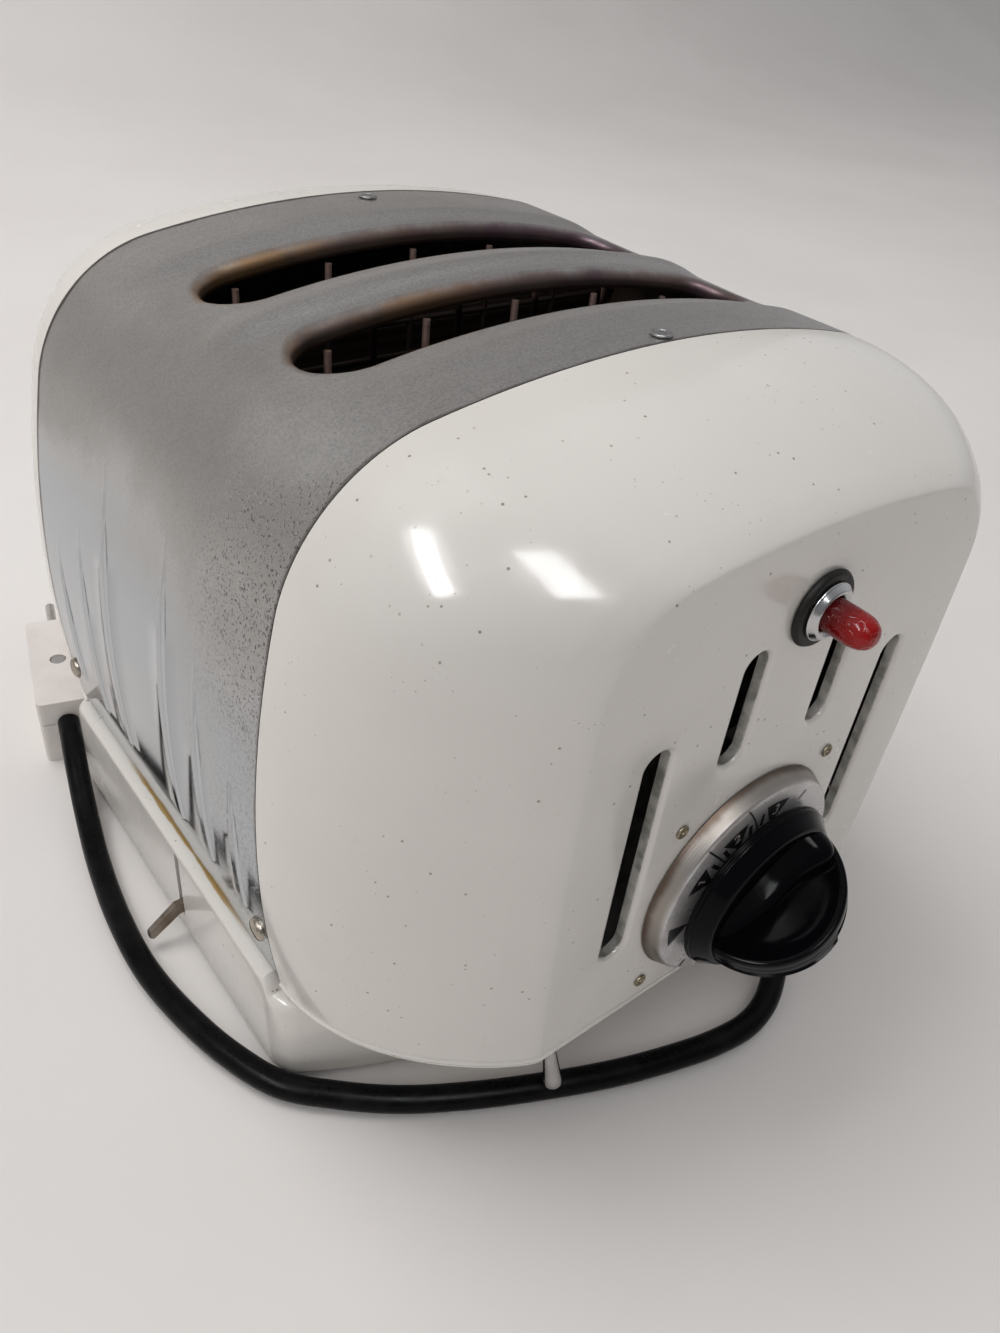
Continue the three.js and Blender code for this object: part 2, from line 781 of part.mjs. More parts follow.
function controlFloorPlate() {
  const rings = capRings(frontCapDepth, frontCreaseShares, sheet, controlFloor, frontSeam, -1, 0);
  const rightEdge = rings.map((ring) => new THREE.Vector2(ring[0].x - 2 * seat, ring[0].y));
  const flatEdge = rightEdge.filter((point) => point.y > frontInner + 2 * seat);
  const frontPoint = rightEdge[rightEdge.length - 1];
  flatEdge.push(new THREE.Vector2(frontPoint.x, frontInner + seat));
  flatEdge[0].y -= seat;
  const leftEdge = flatEdge.map((point) => new THREE.Vector2(-point.x, point.y)).reverse();
  const plate = plateZ(new THREE.Shape([...flatEdge, ...leftEdge]), controlFloor, controlFloorTop);
  const bushHole = cylinder(
    bushRadius + seat, new THREE.Vector3(switchX, switchY, controlFloor - overrun / 2), up, overrun,
  );
  return cut(plate, bushHole);
}

// Inner chassis

function endPlate(side) {
  const near = side * endPlateX;
  const far = side * (endPlateX + sheet);
  const plate = box(
    Math.min(near, far), Math.max(near, far), -endPlateHalfY, endPlateHalfY, chassisFoot, endPlateTop,
  );
  const windows = [-slotOffset, slotOffset].map((y) => box(
    Math.min(near, far) - run, Math.max(near, far) + run, y - rackHalfWide - run, y + rackHalfWide + run,
    rackHeight - run, rackHeight + rackThick + liftTravel + run,
  ));
  const flangeEnd = side * (endPlateX - endFlange);
  const flange = box(
    Math.min(flangeEnd, far), Math.max(flangeEnd, far), -endPlateHalfY, endPlateHalfY,
    chassisFoot, chassisFoot + sheet,
  );
  if (side > 0) {
    return cut(join(plate, flange), ...windows);
  }
  const tab = box(
    -(guideX + guideTabReach), -endPlateX, guideY - guideTabReach, guideY + guideTabReach,
    guideTop + seat, guideTop + seat + sheet,
  );
  return cut(join(plate, flange, tab), ...windows);
}

function baffle(side) {
  const near = side * (endPlateHalfY + seat);
  const far = side * (endPlateHalfY + seat + sheet);
  const shape = rectangle(-baffleHalfX, baffleHalfX, chassisFoot, baffleTop);
  return plateY(shape, Math.min(near, far), Math.max(near, far));
}

// A mica card with notched edges, where its resistance wire is wound
function elementCard(y) {
  const halfX = endPlateX - seat;
  const pitch = (elementTop - elementFoot) / elementNotchCount;
  const points = [];
  for (const side of [1, -1]) {
    for (let i = 0; i < elementNotchCount; i += 1) {
      const low = elementFoot + pitch * (side > 0 ? i : elementNotchCount - i);
      const step = side * (pitch / 4);
      const edge = side * halfX;
      const groove = side * (halfX - elementNotch);
      points.push(
        [edge, low], [edge, low + step], [groove, low + 1.5 * step], [groove, low + 2.5 * step],
        [edge, low + 3 * step],
      );
    }
    points.push([side * halfX, side > 0 ? elementTop : elementFoot]);
  }
  const shape = new THREE.Shape(points.map(([x, z]) => new THREE.Vector2(x, z)));
  return plateY(shape, y - elementSheet / 2, y + elementSheet / 2);
}

// The wires stop just under the rolled lip of the bread slots
function guardWireTop(x) {
  const underLip = body.crownRadius - slotLipDepth - seat;
  const reach = Math.abs(x) + guardWireRadius;
  return body.height - body.crownRadius + Math.sqrt(underLip ** 2 - reach ** 2);
}

function guard(y) {
  const halfX = endPlateX - seat;
  const rails = [guardFoot, guardTop - guardRailDrop].map((z) => cylinder(
    guardWireRadius, new THREE.Vector3(-halfX, y, z), right, 2 * halfX, wireSides,
  ));
  const wires = [];
  for (let i = 0; i < guardWireCount; i += 1) {
    const x = (i - (guardWireCount - 1) / 2) * guardPitch;
    wires.push(cylinder(
      guardWireRadius, new THREE.Vector3(x, y, guardFoot), up, guardWireTop(x) - guardFoot, wireSides,
    ));
  }
  return join(...rails, ...wires);
}

// Bread lift

function rack(y) {
  const leftEnd = -(carriageX - seat);
  const rightEnd = endPlateX + sheet + rackTail;
  const strip = box(
    leftEnd, rightEnd, y - rackHalfWide, y + rackHalfWide, rackHeight, rackHeight + rackThick,
  );
  const fingers = [];
  for (let i = 0; i < rackFingerCount; i += 1) {
    const x = (i - (rackFingerCount - 1) / 2) * rackFingerPitch;
    fingers.push(box(
      x - rackFingerWidth / 2, x + rackFingerWidth / 2, y - rackFingerReach, y + rackFingerReach,
      rackHeight, rackHeight + rackThick,
    ));
  }
  return join(strip, ...fingers);
}

function liftCarriage() {
  const outer = -(carriageX + carriageThick);
  const barFoot = rackHeight - carriageDrop;
  const barTop = rackHeight + carriageRise;
  const bar = box(outer, -carriageX, -carriageHalfY, carriageHalfY, barFoot, barTop);
  const stem = box(
    outer, -carriageX, leverY - stemWidth / 2, leverY + stemWidth / 2, leverFoot - run, barFoot + carriageDrop,
  );
  const sleeveFoot = barTop - sleeveLength;
  const web = box(
    -guideX, -carriageX, guideY - carriageThick, guideY + carriageThick, sleeveFoot, barTop,
  );
  const sleeve = cylinder(sleeveRadius, new THREE.Vector3(-guideX, guideY, sleeveFoot), up, sleeveLength);
  const bore = cylinder(
    guideRadius + seat, new THREE.Vector3(-guideX, guideY, sleeveFoot - overrun / 2), up,
    sleeveLength + overrun,
  );
  return cut(join(bar, stem, web, sleeve), bore);
}

function leverTip() {
  return skirtHalfWide + leverKnee + leverReach;
}

function liftLever() {
  const root = -(carriageX + carriageThick + seat);
  const knee = -(skirtHalfWide + leverKnee);
  const tip = -leverTip();
  const top = leverFoot + leverHeight;
  const shape = new THREE.Shape();
  shape.moveTo(root, leverFoot);
  shape.lineTo(root, top);
  shape.lineTo(knee, top);
  shape.lineTo(tip, top - leverDrop - leverHeight / 4);
  shape.lineTo(tip, leverFoot - leverDrop + leverHeight / 4);
  shape.lineTo(tip + leverHeight / 4, leverFoot - leverDrop);
  shape.lineTo(knee + leverHeight / 4, leverFoot);
  shape.closePath();
  return plateY(shape, leverY - leverThick / 2, leverY + leverThick / 2);
}

function guideRod() {
  return cylinder(
    guideRadius, new THREE.Vector3(-guideX, guideY, chassisFoot), up, guideTop - chassisFoot,
  );
}

// Timer, dial and knob; distances along their axis are measured outwards from the facet

function dialPoint(out) {
  return new THREE.Vector3(0, frontFace - out, dialHeight);
}

function timerHousing() {
  const flange = plateY(
    rectangle(-timerFlangeHalf, timerFlangeHalf, dialHeight - timerFlangeHalf, dialHeight + timerFlangeHalf),
    frontInner + seat, frontInner + seat + timerFlangeThick,
  );
  const can = cylinder(timerRadius, dialPoint(-sheet - seat), back, timerDepth, roundSides);
  const bearing = cylinder(shaftRadius + seat, dialPoint(overrun), back, overrun + sheet + shaftInside + 2 * seat);
  const holes = rivetPlaces().map((place) => cylinder(rivetRadius + seat, place, back, overrun / 2));
  return cut(join(flange, can), bearing, ...holes);
}

function timerShaft() {
  return cylinder(shaftRadius, dialPoint(shaftOutside), back, shaftOutside + sheet + shaftInside);
}

function dialPlate() {
  const rim = dialRadius - dialBevel;
  const profile = [
    [dialBore, dialRise - dialSheet], [rim - dialSheet, dialRise - dialSheet], [dialRadius - dialSheet, seat],
    [dialRadius, seat], [rim, dialRise], [dialBore, dialRise], [dialBore, dialRise - dialSheet],
  ];
  return turned(profile, dialPoint(0), forward, roundSides);
}

function knobRimTop() {
  return dialRise + 2 * seat + knobNeckHeight + knobRimThick;
}

// A side view of the grip, from its low end at the off mark to its high end, out of the facet
function gripPlate(shape, halfThick) {
  const plate = new THREE.ExtrudeGeometry(shape, {
    depth: 2 * halfThick, bevelEnabled: false, curveSegments: slotSegments,
  });
  plate.translate(0, 0, -halfThick);
  const off = THREE.MathUtils.degToRad(knobOffAngle);
  const highEnd = new THREE.Vector3(-Math.sin(off), 0, -Math.cos(off));
  const across = new THREE.Vector3().crossVectors(highEnd, forward);
  plate.applyMatrix4(new THREE.Matrix4().makeBasis(highEnd, forward, across));
  return plate.translate(0, frontFace, dialHeight);
}

// A round foot with a rim, and on it a broad shoulder with a half-round blade along its middle
function timerKnob() {
  const foot = dialRise + 2 * seat;
  const rimTop = knobRimTop();
  const coneTop = rimTop + knobConeHeight;
  const round = turned([
    [0, foot], [knobNeckRadius, foot], [knobNeckRadius, foot + knobNeckHeight],
    [knobRimRadius, foot + knobNeckHeight], [knobRimRadius, rimTop], [knobConeRadius, coneTop], [0, coneTop],
  ], dialPoint(0), forward, roundSides);
  const reach = knobConeRadius;
  const middleTop = coneTop + knobShoulderHeight / 2;
  const shoulder = new THREE.Shape();
  shoulder.moveTo(-reach, rimTop);
  shoulder.quadraticCurveTo(-reach / 3, middleTop, 0, middleTop);
  shoulder.lineTo(reach * knobShoulderPeakShare, coneTop + knobShoulderHeight);
  shoulder.lineTo(reach, middleTop);
  shoulder.lineTo(reach, rimTop);
  shoulder.closePath();
  const blade = new THREE.Shape();
  blade.absarc(0, rimTop, knobBladeRadius, 0, Math.PI, false);
  blade.closePath();
  const grip = join(
    round, gripPlate(shoulder, knobShoulderHalfWide), gripPlate(blade, knobBladeHalfThick),
  );
  const bore = cylinder(shaftRadius + seat, dialPoint(shaftOutside + seat), back, overrun);
  return cut(grip, bore);
}

// Lamp; distances are measured outwards from the facet

function lampPoint(out) {
  return new THREE.Vector3(0, frontFace - out, lampHeight);
}

function lampWasher() {
  const inner = lampTubeRadius + seat;
  return turned([
    [inner, seat], [lampWasherRadius, seat], [lampWasherRadius, seat + lampWasherThick],
    [inner, seat + lampWasherThick], [inner, seat],
  ], lampPoint(0), forward);
}

function lampBezel() {
  const foot = lampWasherThick + 2 * seat;
  const bore = lampLensRadius + seat;
  const tail = -(sheet + lampNutThick + 2 * seat);
  return turned([
    [bore, tail], [lampTubeRadius, tail], [lampTubeRadius, foot], [lampBezelRadius, foot],
    [lampBezelRadius, foot + lampBezelThick / 3], [lampBezelFrontRadius, foot + lampBezelThick],
    [bore, foot + lampBezelThick], [bore, tail],
  ], lampPoint(0), forward);
}

function lampLens() {
  const foot = -(sheet + lampNutThick);
  const collar = lampWasherThick + 2 * seat + lampBezelThick;
  const nose = collar + lampLensReach;
  const r = lampLensRadius;
  return turned([
    [0, foot], [r, foot], [r, nose - r], [r * lensNoseShares.wide, nose - r / 2],
    [r / 2, nose - r * lensNoseShares.rise], [0, nose],
  ], lampPoint(0), forward);
}

function lampNut() {
  return hexNut(lampTubeRadius + seat, lampNutFlat, lampPoint(-(sheet + seat)), back, lampNutThick);
}

// Toggle switch

function switchBody() {
  const foot = controlFloorTop + seat;
  return box(
    switchX - switchHalfX, switchX + switchHalfX, switchY - switchHalfY, switchY + switchHalfY,
    foot, foot + switchHeight,
  );
}

function switchBushFoot() {
  return controlFloor - bushReach;
}

function switchBush() {
  const top = controlFloorTop;
  const foot = switchBushFoot();
  return turned([
    [bushBore, foot], [bushRadius, foot], [bushRadius, top], [bushBore, top], [bushBore, foot],
  ], new THREE.Vector3(switchX, switchY, 0), up);
}

function switchNut() {
  const start = new THREE.Vector3(switchX, switchY, controlFloor - seat);
  return hexNut(bushRadius + seat, switchNutFlat, start, down, switchNutThick);
}

function batPivot() {
  return new THREE.Vector3(switchX, switchY, switchBushFoot() + bushReach / 2);
}

function switchBat() {
  const ball = batBallRadius;
  return turned([
    [0, -ball], [ball * batShares.ball, -ball * batShares.ball], [ball, 0],
    [batNeckRadius, ball * batShares.neck], [batTipRadius, batLength - batTipRadius],
    [batTipRadius * batShares.nose, batLength - batTipRadius / 3], [0, batLength],
  ], new THREE.Vector3(), down);
}

// Mains

function terminalBlock() {
  const foot = controlFloorTop + seat;
  const block = box(
    terminalX - terminalHalfX, terminalX + terminalHalfX, terminalY - terminalHalfY, terminalY + terminalHalfY,
    foot, foot + terminalHeight,
  );
  const wells = [-1, 0, 1].map((i) => cylinder(
    terminalScrewRadius, new THREE.Vector3(terminalX + i * terminalScrewPitch, terminalY,
      foot + terminalHeight / 2), up, terminalHeight,
  ));
  return cut(block, ...wells);
}

function glandStart() {
  return new THREE.Vector3(glandX, skirtWallY(glandX), glandHeight);
}

function cordGland() {
  const lean = glandFlangeRadius * Math.tan(Math.asin(glandX / skirtBowRadius));
  const outerFlange = lean + seat;
  const innerFlange = -(lean + skirtSheet + 2 * seat);
  return turned([
    [0, -glandTail], [glandTipRadius, -glandTail], [glandNeckRadius, innerFlange - glandFlangeThick],
    [glandFlangeRadius, innerFlange - glandFlangeThick], [glandFlangeRadius, innerFlange],
    [glandNeckRadius, innerFlange], [glandNeckRadius, outerFlange], [glandFlangeRadius, outerFlange],
    [glandFlangeRadius, outerFlange + glandFlangeThick], [glandNeckRadius, outerFlange + glandFlangeThick],
    [glandTipRadius, glandTip], [0, glandTip],
  ], glandStart(), forward);
}

function cord() {
  const path = new THREE.CatmullRomCurve3(cordRoute.map((point) => new THREE.Vector3(...point)), false, 'centripetal');
  const ring = [];
  for (let i = 0; i < cordSides; i += 1) {
    const angle = (2 * Math.PI * (i + 0.5)) / cordSides;
    ring.push(new THREE.Vector2(cordRadius * Math.cos(angle), cordRadius * Math.sin(angle)));
  }
  return new THREE.ExtrudeGeometry(new THREE.Shape(ring), {
    steps: cordSteps, extrudePath: path, bevelEnabled: false,
  });
}

// The plug's own axes: x runs from the cord's end to the pins, z is up, and it lies on its side
function plugBlock(z0, z1) {
  const r = plugRound;
  const shape = new THREE.Shape();
  shape.moveTo(r, -plugHalfWide);
  shape.lineTo(plugLength - r, -plugHalfWide);
  shape.quadraticCurveTo(plugLength, -plugHalfWide, plugLength, -plugHalfWide + r);
  shape.lineTo(plugLength, plugHalfWide - r);
  shape.quadraticCurveTo(plugLength, plugHalfWide, plugLength - r, plugHalfWide);
  shape.lineTo(r, plugHalfWide);
  shape.quadraticCurveTo(0, plugHalfWide, 0, plugHalfWide - r);
  shape.lineTo(0, -plugHalfWide + r);
  shape.quadraticCurveTo(0, -plugHalfWide, r, -plugHalfWide);
  return plateZ(shape, z0, z1, 3);
}

function plugCover() {
  const well = cylinder(
    plugScrewRadius + seat, new THREE.Vector3(plugLength / 2, 0, plugHeight - plugScrewDepth - seat), up, overrun,
  );
  return cut(plugBlock(plugSplit + seat, plugHeight), well);
}

function plugScrew() {
  return cylinder(
    plugScrewRadius, new THREE.Vector3(plugLength / 2, 0, plugHeight - plugScrewDepth), up,
    plugScrewDepth - seat,
  );
}

function plugPin(index) {
  const z = plugHeight / 2 + index * plugPinPitch;
  return cylinder(plugPinRadius, new THREE.Vector3(plugLength + seat, 0, z), right, plugPinLength);
}

// Materials

function material(color, roughness, metalness) {
  return new THREE.MeshStandardMaterial({ color, roughness, metalness });
}

const enamel = () => material(0xe6e0d4, 0.25, 0);
const chrome = () => material(0x9a9a98, 0.28, 1);
const steel = () => material(0x8d8a86, 0.45, 1);
const blackened = () => material(0x4a443e, 0.7, 0.6);
const rustedWire = () => material(0x7a5238, 0.7, 0.6);
const bakelite = () => material(0x0c0c0d, 0.18, 0);
const rubber = () => material(0x17171a, 0.55, 0);
const mica = () => material(0xb0a48a, 0.6, 0);
const brass = () => material(0xa08a55, 0.4, 1);
const whitePlastic = () => material(0xe4ddd6, 0.4, 0);
const redLens = () => material(0xb01010, 0.15, 0);

// Assembly: everything is built about the body's middle, then shifted so that the origin
// lies on the standing surface under the middle of the toaster's outline, lever and knob included
const toaster = new THREE.Group();
const frontReach = -frontFace + knobRimTop() + knobBladeRadius;
const rearReach = rearSeam + rearCapDepth;
toaster.position.set((leverTip() - trayReach()) / 2, (frontReach - rearReach) / 2, 0);

function add(name, geometry, look, parent = toaster) {
  const mesh = new THREE.Mesh(geometry, look);
  mesh.name = name;
  parent.add(mesh);
  return mesh;
}

add('front_cap', frontCap(), enamel());
add('rear_cap', rearCap(), enamel());
add('body_wrap', bodyWrap(), chrome());
add('base_skirt', baseSkirt(), enamel());
add('bottom_plate', bottomPlate(), steel());
add('control_floor', controlFloorPlate(), enamel());
for (const place of footPlaces()) {
  add(place.name, foot(place), rubber());
}
for (const place of screwPlaces()) {
  const geometry = fastener(place.point, place.axis, screwHeadRadius, screwHeadRise, screwRadius, screwLength);
  add(place.name, geometry, chrome());
}
for (const [name, side] of [['top_rivet_front', -1], ['top_rivet_rear', 1]]) {
  const point = new THREE.Vector3(0, topRivetY(side), body.height);
  add(name, fastener(point, up, topRivetRadius, rivetHeadRise, rivetRadius, screwLength), chrome());
}

add('left_end_plate', endPlate(-1), steel());
add('right_end_plate', endPlate(1), steel());
add('front_baffle', baffle(-1), steel());
add('rear_baffle', baffle(1), steel());
add('element_front', elementCard(-elementOffset), mica());
add('element_centre', elementCard(0), mica());
add('element_rear', elementCard(elementOffset), mica());
add('guard_front_outer', guard(-slotOffset - guardOffset), rustedWire());
add('guard_front_inner', guard(-slotOffset + guardOffset), rustedWire());
add('guard_rear_inner', guard(slotOffset - guardOffset), rustedWire());
add('guard_rear_outer', guard(slotOffset + guardOffset), rustedWire());

add('rack_front', rack(-slotOffset), blackened());
add('rack_rear', rack(slotOffset), blackened());
add('lift_carriage', liftCarriage(), steel());
add('lift_lever', liftLever(), steel());
add('lift_guide_rod', guideRod(), steel());
add('crumb_tray', crumbTray(), steel());

add('timer_housing', timerHousing(), steel());
add('timer_shaft', timerShaft(), steel());
add('timer_knob', timerKnob(), bakelite());
add('dial_plate', dialPlate(), chrome());
rivetPlaces().forEach((place, i) => {
  const length = sheet + timerFlangeThick + 2 * seat;
  const geometry = fastener(place, forward, rivetHeadRadius, rivetHeadRise, rivetRadius, length);
  add(`dial_rivet_${i + 1}`, geometry, brass());
});
add('lamp_washer', lampWasher(), rubber());
add('lamp_bezel', lampBezel(), chrome());
add('lamp_lens', lampLens(), redLens());
add('lamp_nut', lampNut(), steel());

add('switch_body', switchBody(), bakelite());
add('switch_bush', switchBush(), chrome());
add('switch_nut', switchNut(), chrome());
const bat = add('switch_bat', switchBat(), chrome());
bat.position.copy(batPivot());
bat.rotation.x = -THREE.MathUtils.degToRad(batTilt);

add('terminal_block', terminalBlock(), bakelite());
add('cord_gland', cordGland(), rubber());
add('cord', cord(), rubber());

const plug = new THREE.Group();
const cordEnd = new THREE.Vector3(...cordRoute[cordRoute.length - 1]);
const cordBefore = new THREE.Vector3(...cordRoute[cordRoute.length - 2]);
const plugAngle = Math.atan2(cordEnd.y - cordBefore.y, cordEnd.x - cordBefore.x);
plug.rotation.z = plugAngle;
plug.position.set(cordEnd.x + 2 * seat * Math.cos(plugAngle), cordEnd.y + 2 * seat * Math.sin(plugAngle), 0);
toaster.add(plug);
add('plug_body', plugBlock(0, plugSplit), whitePlastic(), plug);
add('plug_cover', plugCover(), whitePlastic(), plug);
add('plug_screw', plugScrew(), steel(), plug);
add('plug_pin_low', plugPin(-1), brass(), plug);
add('plug_pin_middle', plugPin(0), brass(), plug);
add('plug_pin_high', plugPin(1), brass(), plug);

export default toaster;
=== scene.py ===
import json
from math import acos, asin, atan2, copysign, cos, degrees, exp, pi, radians, sin, sqrt
from types import SimpleNamespace as Outline

import bmesh
import bpy
import numpy as np
from mathutils import Matrix, Vector
from mathutils.geometry import delaunay_2d_cdt


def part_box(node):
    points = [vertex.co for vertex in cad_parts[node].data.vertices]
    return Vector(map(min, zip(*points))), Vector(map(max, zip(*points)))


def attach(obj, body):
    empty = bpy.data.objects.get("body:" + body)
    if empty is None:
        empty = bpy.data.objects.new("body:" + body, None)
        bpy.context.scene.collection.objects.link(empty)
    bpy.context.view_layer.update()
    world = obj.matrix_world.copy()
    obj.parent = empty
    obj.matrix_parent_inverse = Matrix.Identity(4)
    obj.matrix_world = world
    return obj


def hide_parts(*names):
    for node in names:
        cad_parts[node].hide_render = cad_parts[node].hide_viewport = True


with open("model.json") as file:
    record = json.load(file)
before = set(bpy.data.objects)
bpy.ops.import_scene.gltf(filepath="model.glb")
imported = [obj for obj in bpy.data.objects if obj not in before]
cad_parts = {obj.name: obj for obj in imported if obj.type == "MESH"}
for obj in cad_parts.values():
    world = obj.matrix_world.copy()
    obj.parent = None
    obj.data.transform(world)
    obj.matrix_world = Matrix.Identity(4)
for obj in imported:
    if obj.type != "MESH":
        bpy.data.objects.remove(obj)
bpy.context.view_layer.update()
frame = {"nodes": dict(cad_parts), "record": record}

# Everything below is in millimetres about the body's middle, and is moved into the frame as it is made
MM = 0.001
wrap_low, wrap_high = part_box("body_wrap")
SHIFT = np.array([(wrap_low.x + wrap_high.x) / 2, (wrap_low.y + wrap_high.y) / 2, 0.0])

# Half widths and the height where they lie, the radii of side, shoulder and crown, and the top's height
BODY = Outline(half_wide=122.8, wide_height=98, side=344, corner=52, crown=360, height=218.6)
FACET = Outline(half_wide=74.5, wide_height=130, side=1200, corner=30, crown=330, height=198.7)
WRAP_HALF, WRAP_FOOT, CAP_FOOT, SHEET = 77.6, 43.2, 37.8, 1.2
SEAM, FRONT_DEPTH, REAR_DEPTH = 77.9, 63, 50
FRONT_FACE = -(SEAM + FRONT_DEPTH)
DIAL_Z, LAMP_Z = 80, 173.7
UP, FORWARD, FOOT_MIDDLE = (0, 0, 1), (0, -1, 0), (0, 0, 10)


def in_frame(points):
    return np.asarray(points, float) * MM + SHIFT


def add(name, data):
    made = bpy.data.objects.new(name, data)
    bpy.context.scene.collection.objects.link(made)
    return made


def ease(t):
    return t * t * (3 - 2 * t)


def around(count):
    return np.linspace(0, 2 * pi, count, endpoint=False)


# The camera of the photograph: its place, its turns in degrees, and its focal length in pixels

CAMERA_PLACE = (-201.3, -251.8, 305.4)
CAMERA_TURNS = (-41.79, 36.72, 6.85)
FOCAL_PIXELS, PHOTO_HEIGHT, SENSOR = 1027.49, 1333, 36


def make_camera():
    azimuth, elevation, roll = np.radians(CAMERA_TURNS)
    level = cos(elevation)
    back = Vector((sin(azimuth) * level, -cos(azimuth) * level, sin(elevation)))
    right = (-back).cross(Vector(UP)).normalized()
    up = right.cross(-back)
    right, up = right * cos(roll) + up * sin(roll), up * cos(roll) - right * sin(roll)
    data = bpy.data.cameras.new("camera")
    data.lens = SENSOR * FOCAL_PIXELS / PHOTO_HEIGHT
    data.clip_start = 0.01
    camera = add("camera", data)
    turn = Matrix((right, up, back)).transposed().to_4x4()
    camera.matrix_world = Matrix.Translation(Vector(in_frame(CAMERA_PLACE))) @ turn
    bpy.context.scene.camera = camera


make_camera()


# Materials: each is a node tree on object coordinates, which are the frame's own in metres

LOOKS = {}


class Wire:
    """A number or colour in a node tree; what is worked out from it becomes nodes."""

    def __init__(self, tree, socket):
        self.tree, self.socket = tree, socket

    def calc(self, operation, b=0.0, c=0.0):
        return self.tree.wire("Math", 0, {0: self, 1: b, 2: c}, operation=operation)

    def __add__(self, other):
        return self.calc("ADD", other)

    def __sub__(self, other):
        return self.calc("SUBTRACT", other)

    def __mul__(self, other):
        return self.calc("MULTIPLY", other)

    def ramp(self, low, high, a=0.0, b=1.0):
        ends = {"Value": self, "From Min": low, "From Max": high, "To Min": a, "To Max": b}
        return self.tree.wire("MapRange", "Result", ends, interpolation_type="SMOOTHSTEP")


class Tree:
    """The node tree of a material or of the world."""

    def __init__(self, owner, shader):
        owner.use_nodes = True
        self.nodes, self.links = owner.node_tree.nodes, owner.node_tree.links
        self.shader = self.nodes[shader]

    def join(self, target, value):
        if isinstance(value, Wire):
            self.links.new(value.socket, target)
        else:
            target.default_value = (*value, 1) if target.type == "RGBA" else value

    def feed(self, socket, value):
        self.join(self.shader.inputs[socket], value)

    def wire(self, kind, output, inputs=None, **settings):
        """Adds a node, joins its inputs and gives one of its outputs."""
        node = self.nodes.new("ShaderNode" + kind)
        for key, value in settings.items():
            setattr(node, key, value)
        for key, value in (inputs or {}).items():
            self.join(node.inputs[key], value)
        return Wire(self, node.outputs[output])


class Look(Tree):
    """A material with the colour that has been laid on it so far."""

    def __init__(self, name, colour, **settings):
        self.material = LOOKS[name] = bpy.data.materials.new(name)
        super().__init__(self.material, "Principled BSDF")
        self.colour, self.point = colour, self.wire("TexCoord", "Object")
        for socket, value in settings.items():
            self.feed(socket.replace("_", " "), value)

    def noise(self, scale, detail=3.0, rough=0.55, stretch=None):
        point = self.wire("Mapping", 0, {"Vector": self.point, "Scale": stretch}) if stretch else self.point
        inputs = {"Vector": point, "Scale": scale, "Detail": detail, "Roughness": rough}
        return self.wire("TexNoise", "Fac", inputs)

    def cells(self, scale, feature="F1"):
        return self.wire("TexVoronoi", "Distance", {"Vector": self.point, "Scale": scale}, feature=feature)

    def attribute(self, name):
        return self.wire("Attribute", "Fac", attribute_name=name)

    def axis(self, name):
        return self.wire("SeparateXYZ", name, {"Vector": self.point})

    def across(self):
        return self.axis("X") - float(SHIFT[0])

    def mix(self, share, a, b):
        return self.wire("Mix", 2, {0: share, 6: a, 7: b}, data_type="RGBA")

    def paint(self, share, tone, amount=1):
        """Lays a tone over the colour so far."""
        self.colour = self.mix(share if amount == 1 else share * amount, self.colour, tone)

    def bump(self, height, distance, strength, under=None):
        inputs = {"Height": height, "Distance": distance, "Strength": strength}
        return self.wire("Bump", 0, inputs if under is None else {**inputs, "Normal": under})

    def near(self, start, end, width):
        """How near the surface is to a line between two points, all in millimetres."""
        a, b = in_frame(start), in_frame(end)
        along = b - a

        def vector(operation, output, first, socket, second):
            return self.wire("VectorMath", output, {0: first, socket: second}, operation=operation)

        offset = vector("SUBTRACT", "Vector", self.point, 1, tuple(a))
        share = self.wire("Clamp", 0, {0: vector("DOT_PRODUCT", "Value", offset, 1, along / (along @ along))})
        foot = vector("SCALE", "Vector", along, "Scale", share)
        return vector("DISTANCE", "Value", offset, 1, foot).ramp(width * MM, 0.0)

    def done(self, rough, relief=None):
        self.feed("Base Color", self.colour)
        self.feed("Roughness", rough)
        if relief:
            self.feed("Normal", relief)


CREAM = (0.79, 0.755, 0.705)
ENAMEL_MARKS = (
    ((-117.9, -92, 96.5), (-117.5, -93.5, 94.2), 0.55), ((-83, -128.5, 92), (-79.2, -131, 87.5), 0.42),
    ((-84.5, -126.5, 118), (-82.5, -128, 117), 0.6),
)
CHROME_DRIPS = (
    ((-119.5, -10, 168), (-120.4, -9.6, 160), 1.0), ((-118.2, 6, 172), (-118.4, 6, 170.5), 0.7),
    ((-121.8, -30, 150), (-121.9, -30, 149), 0.6),
)


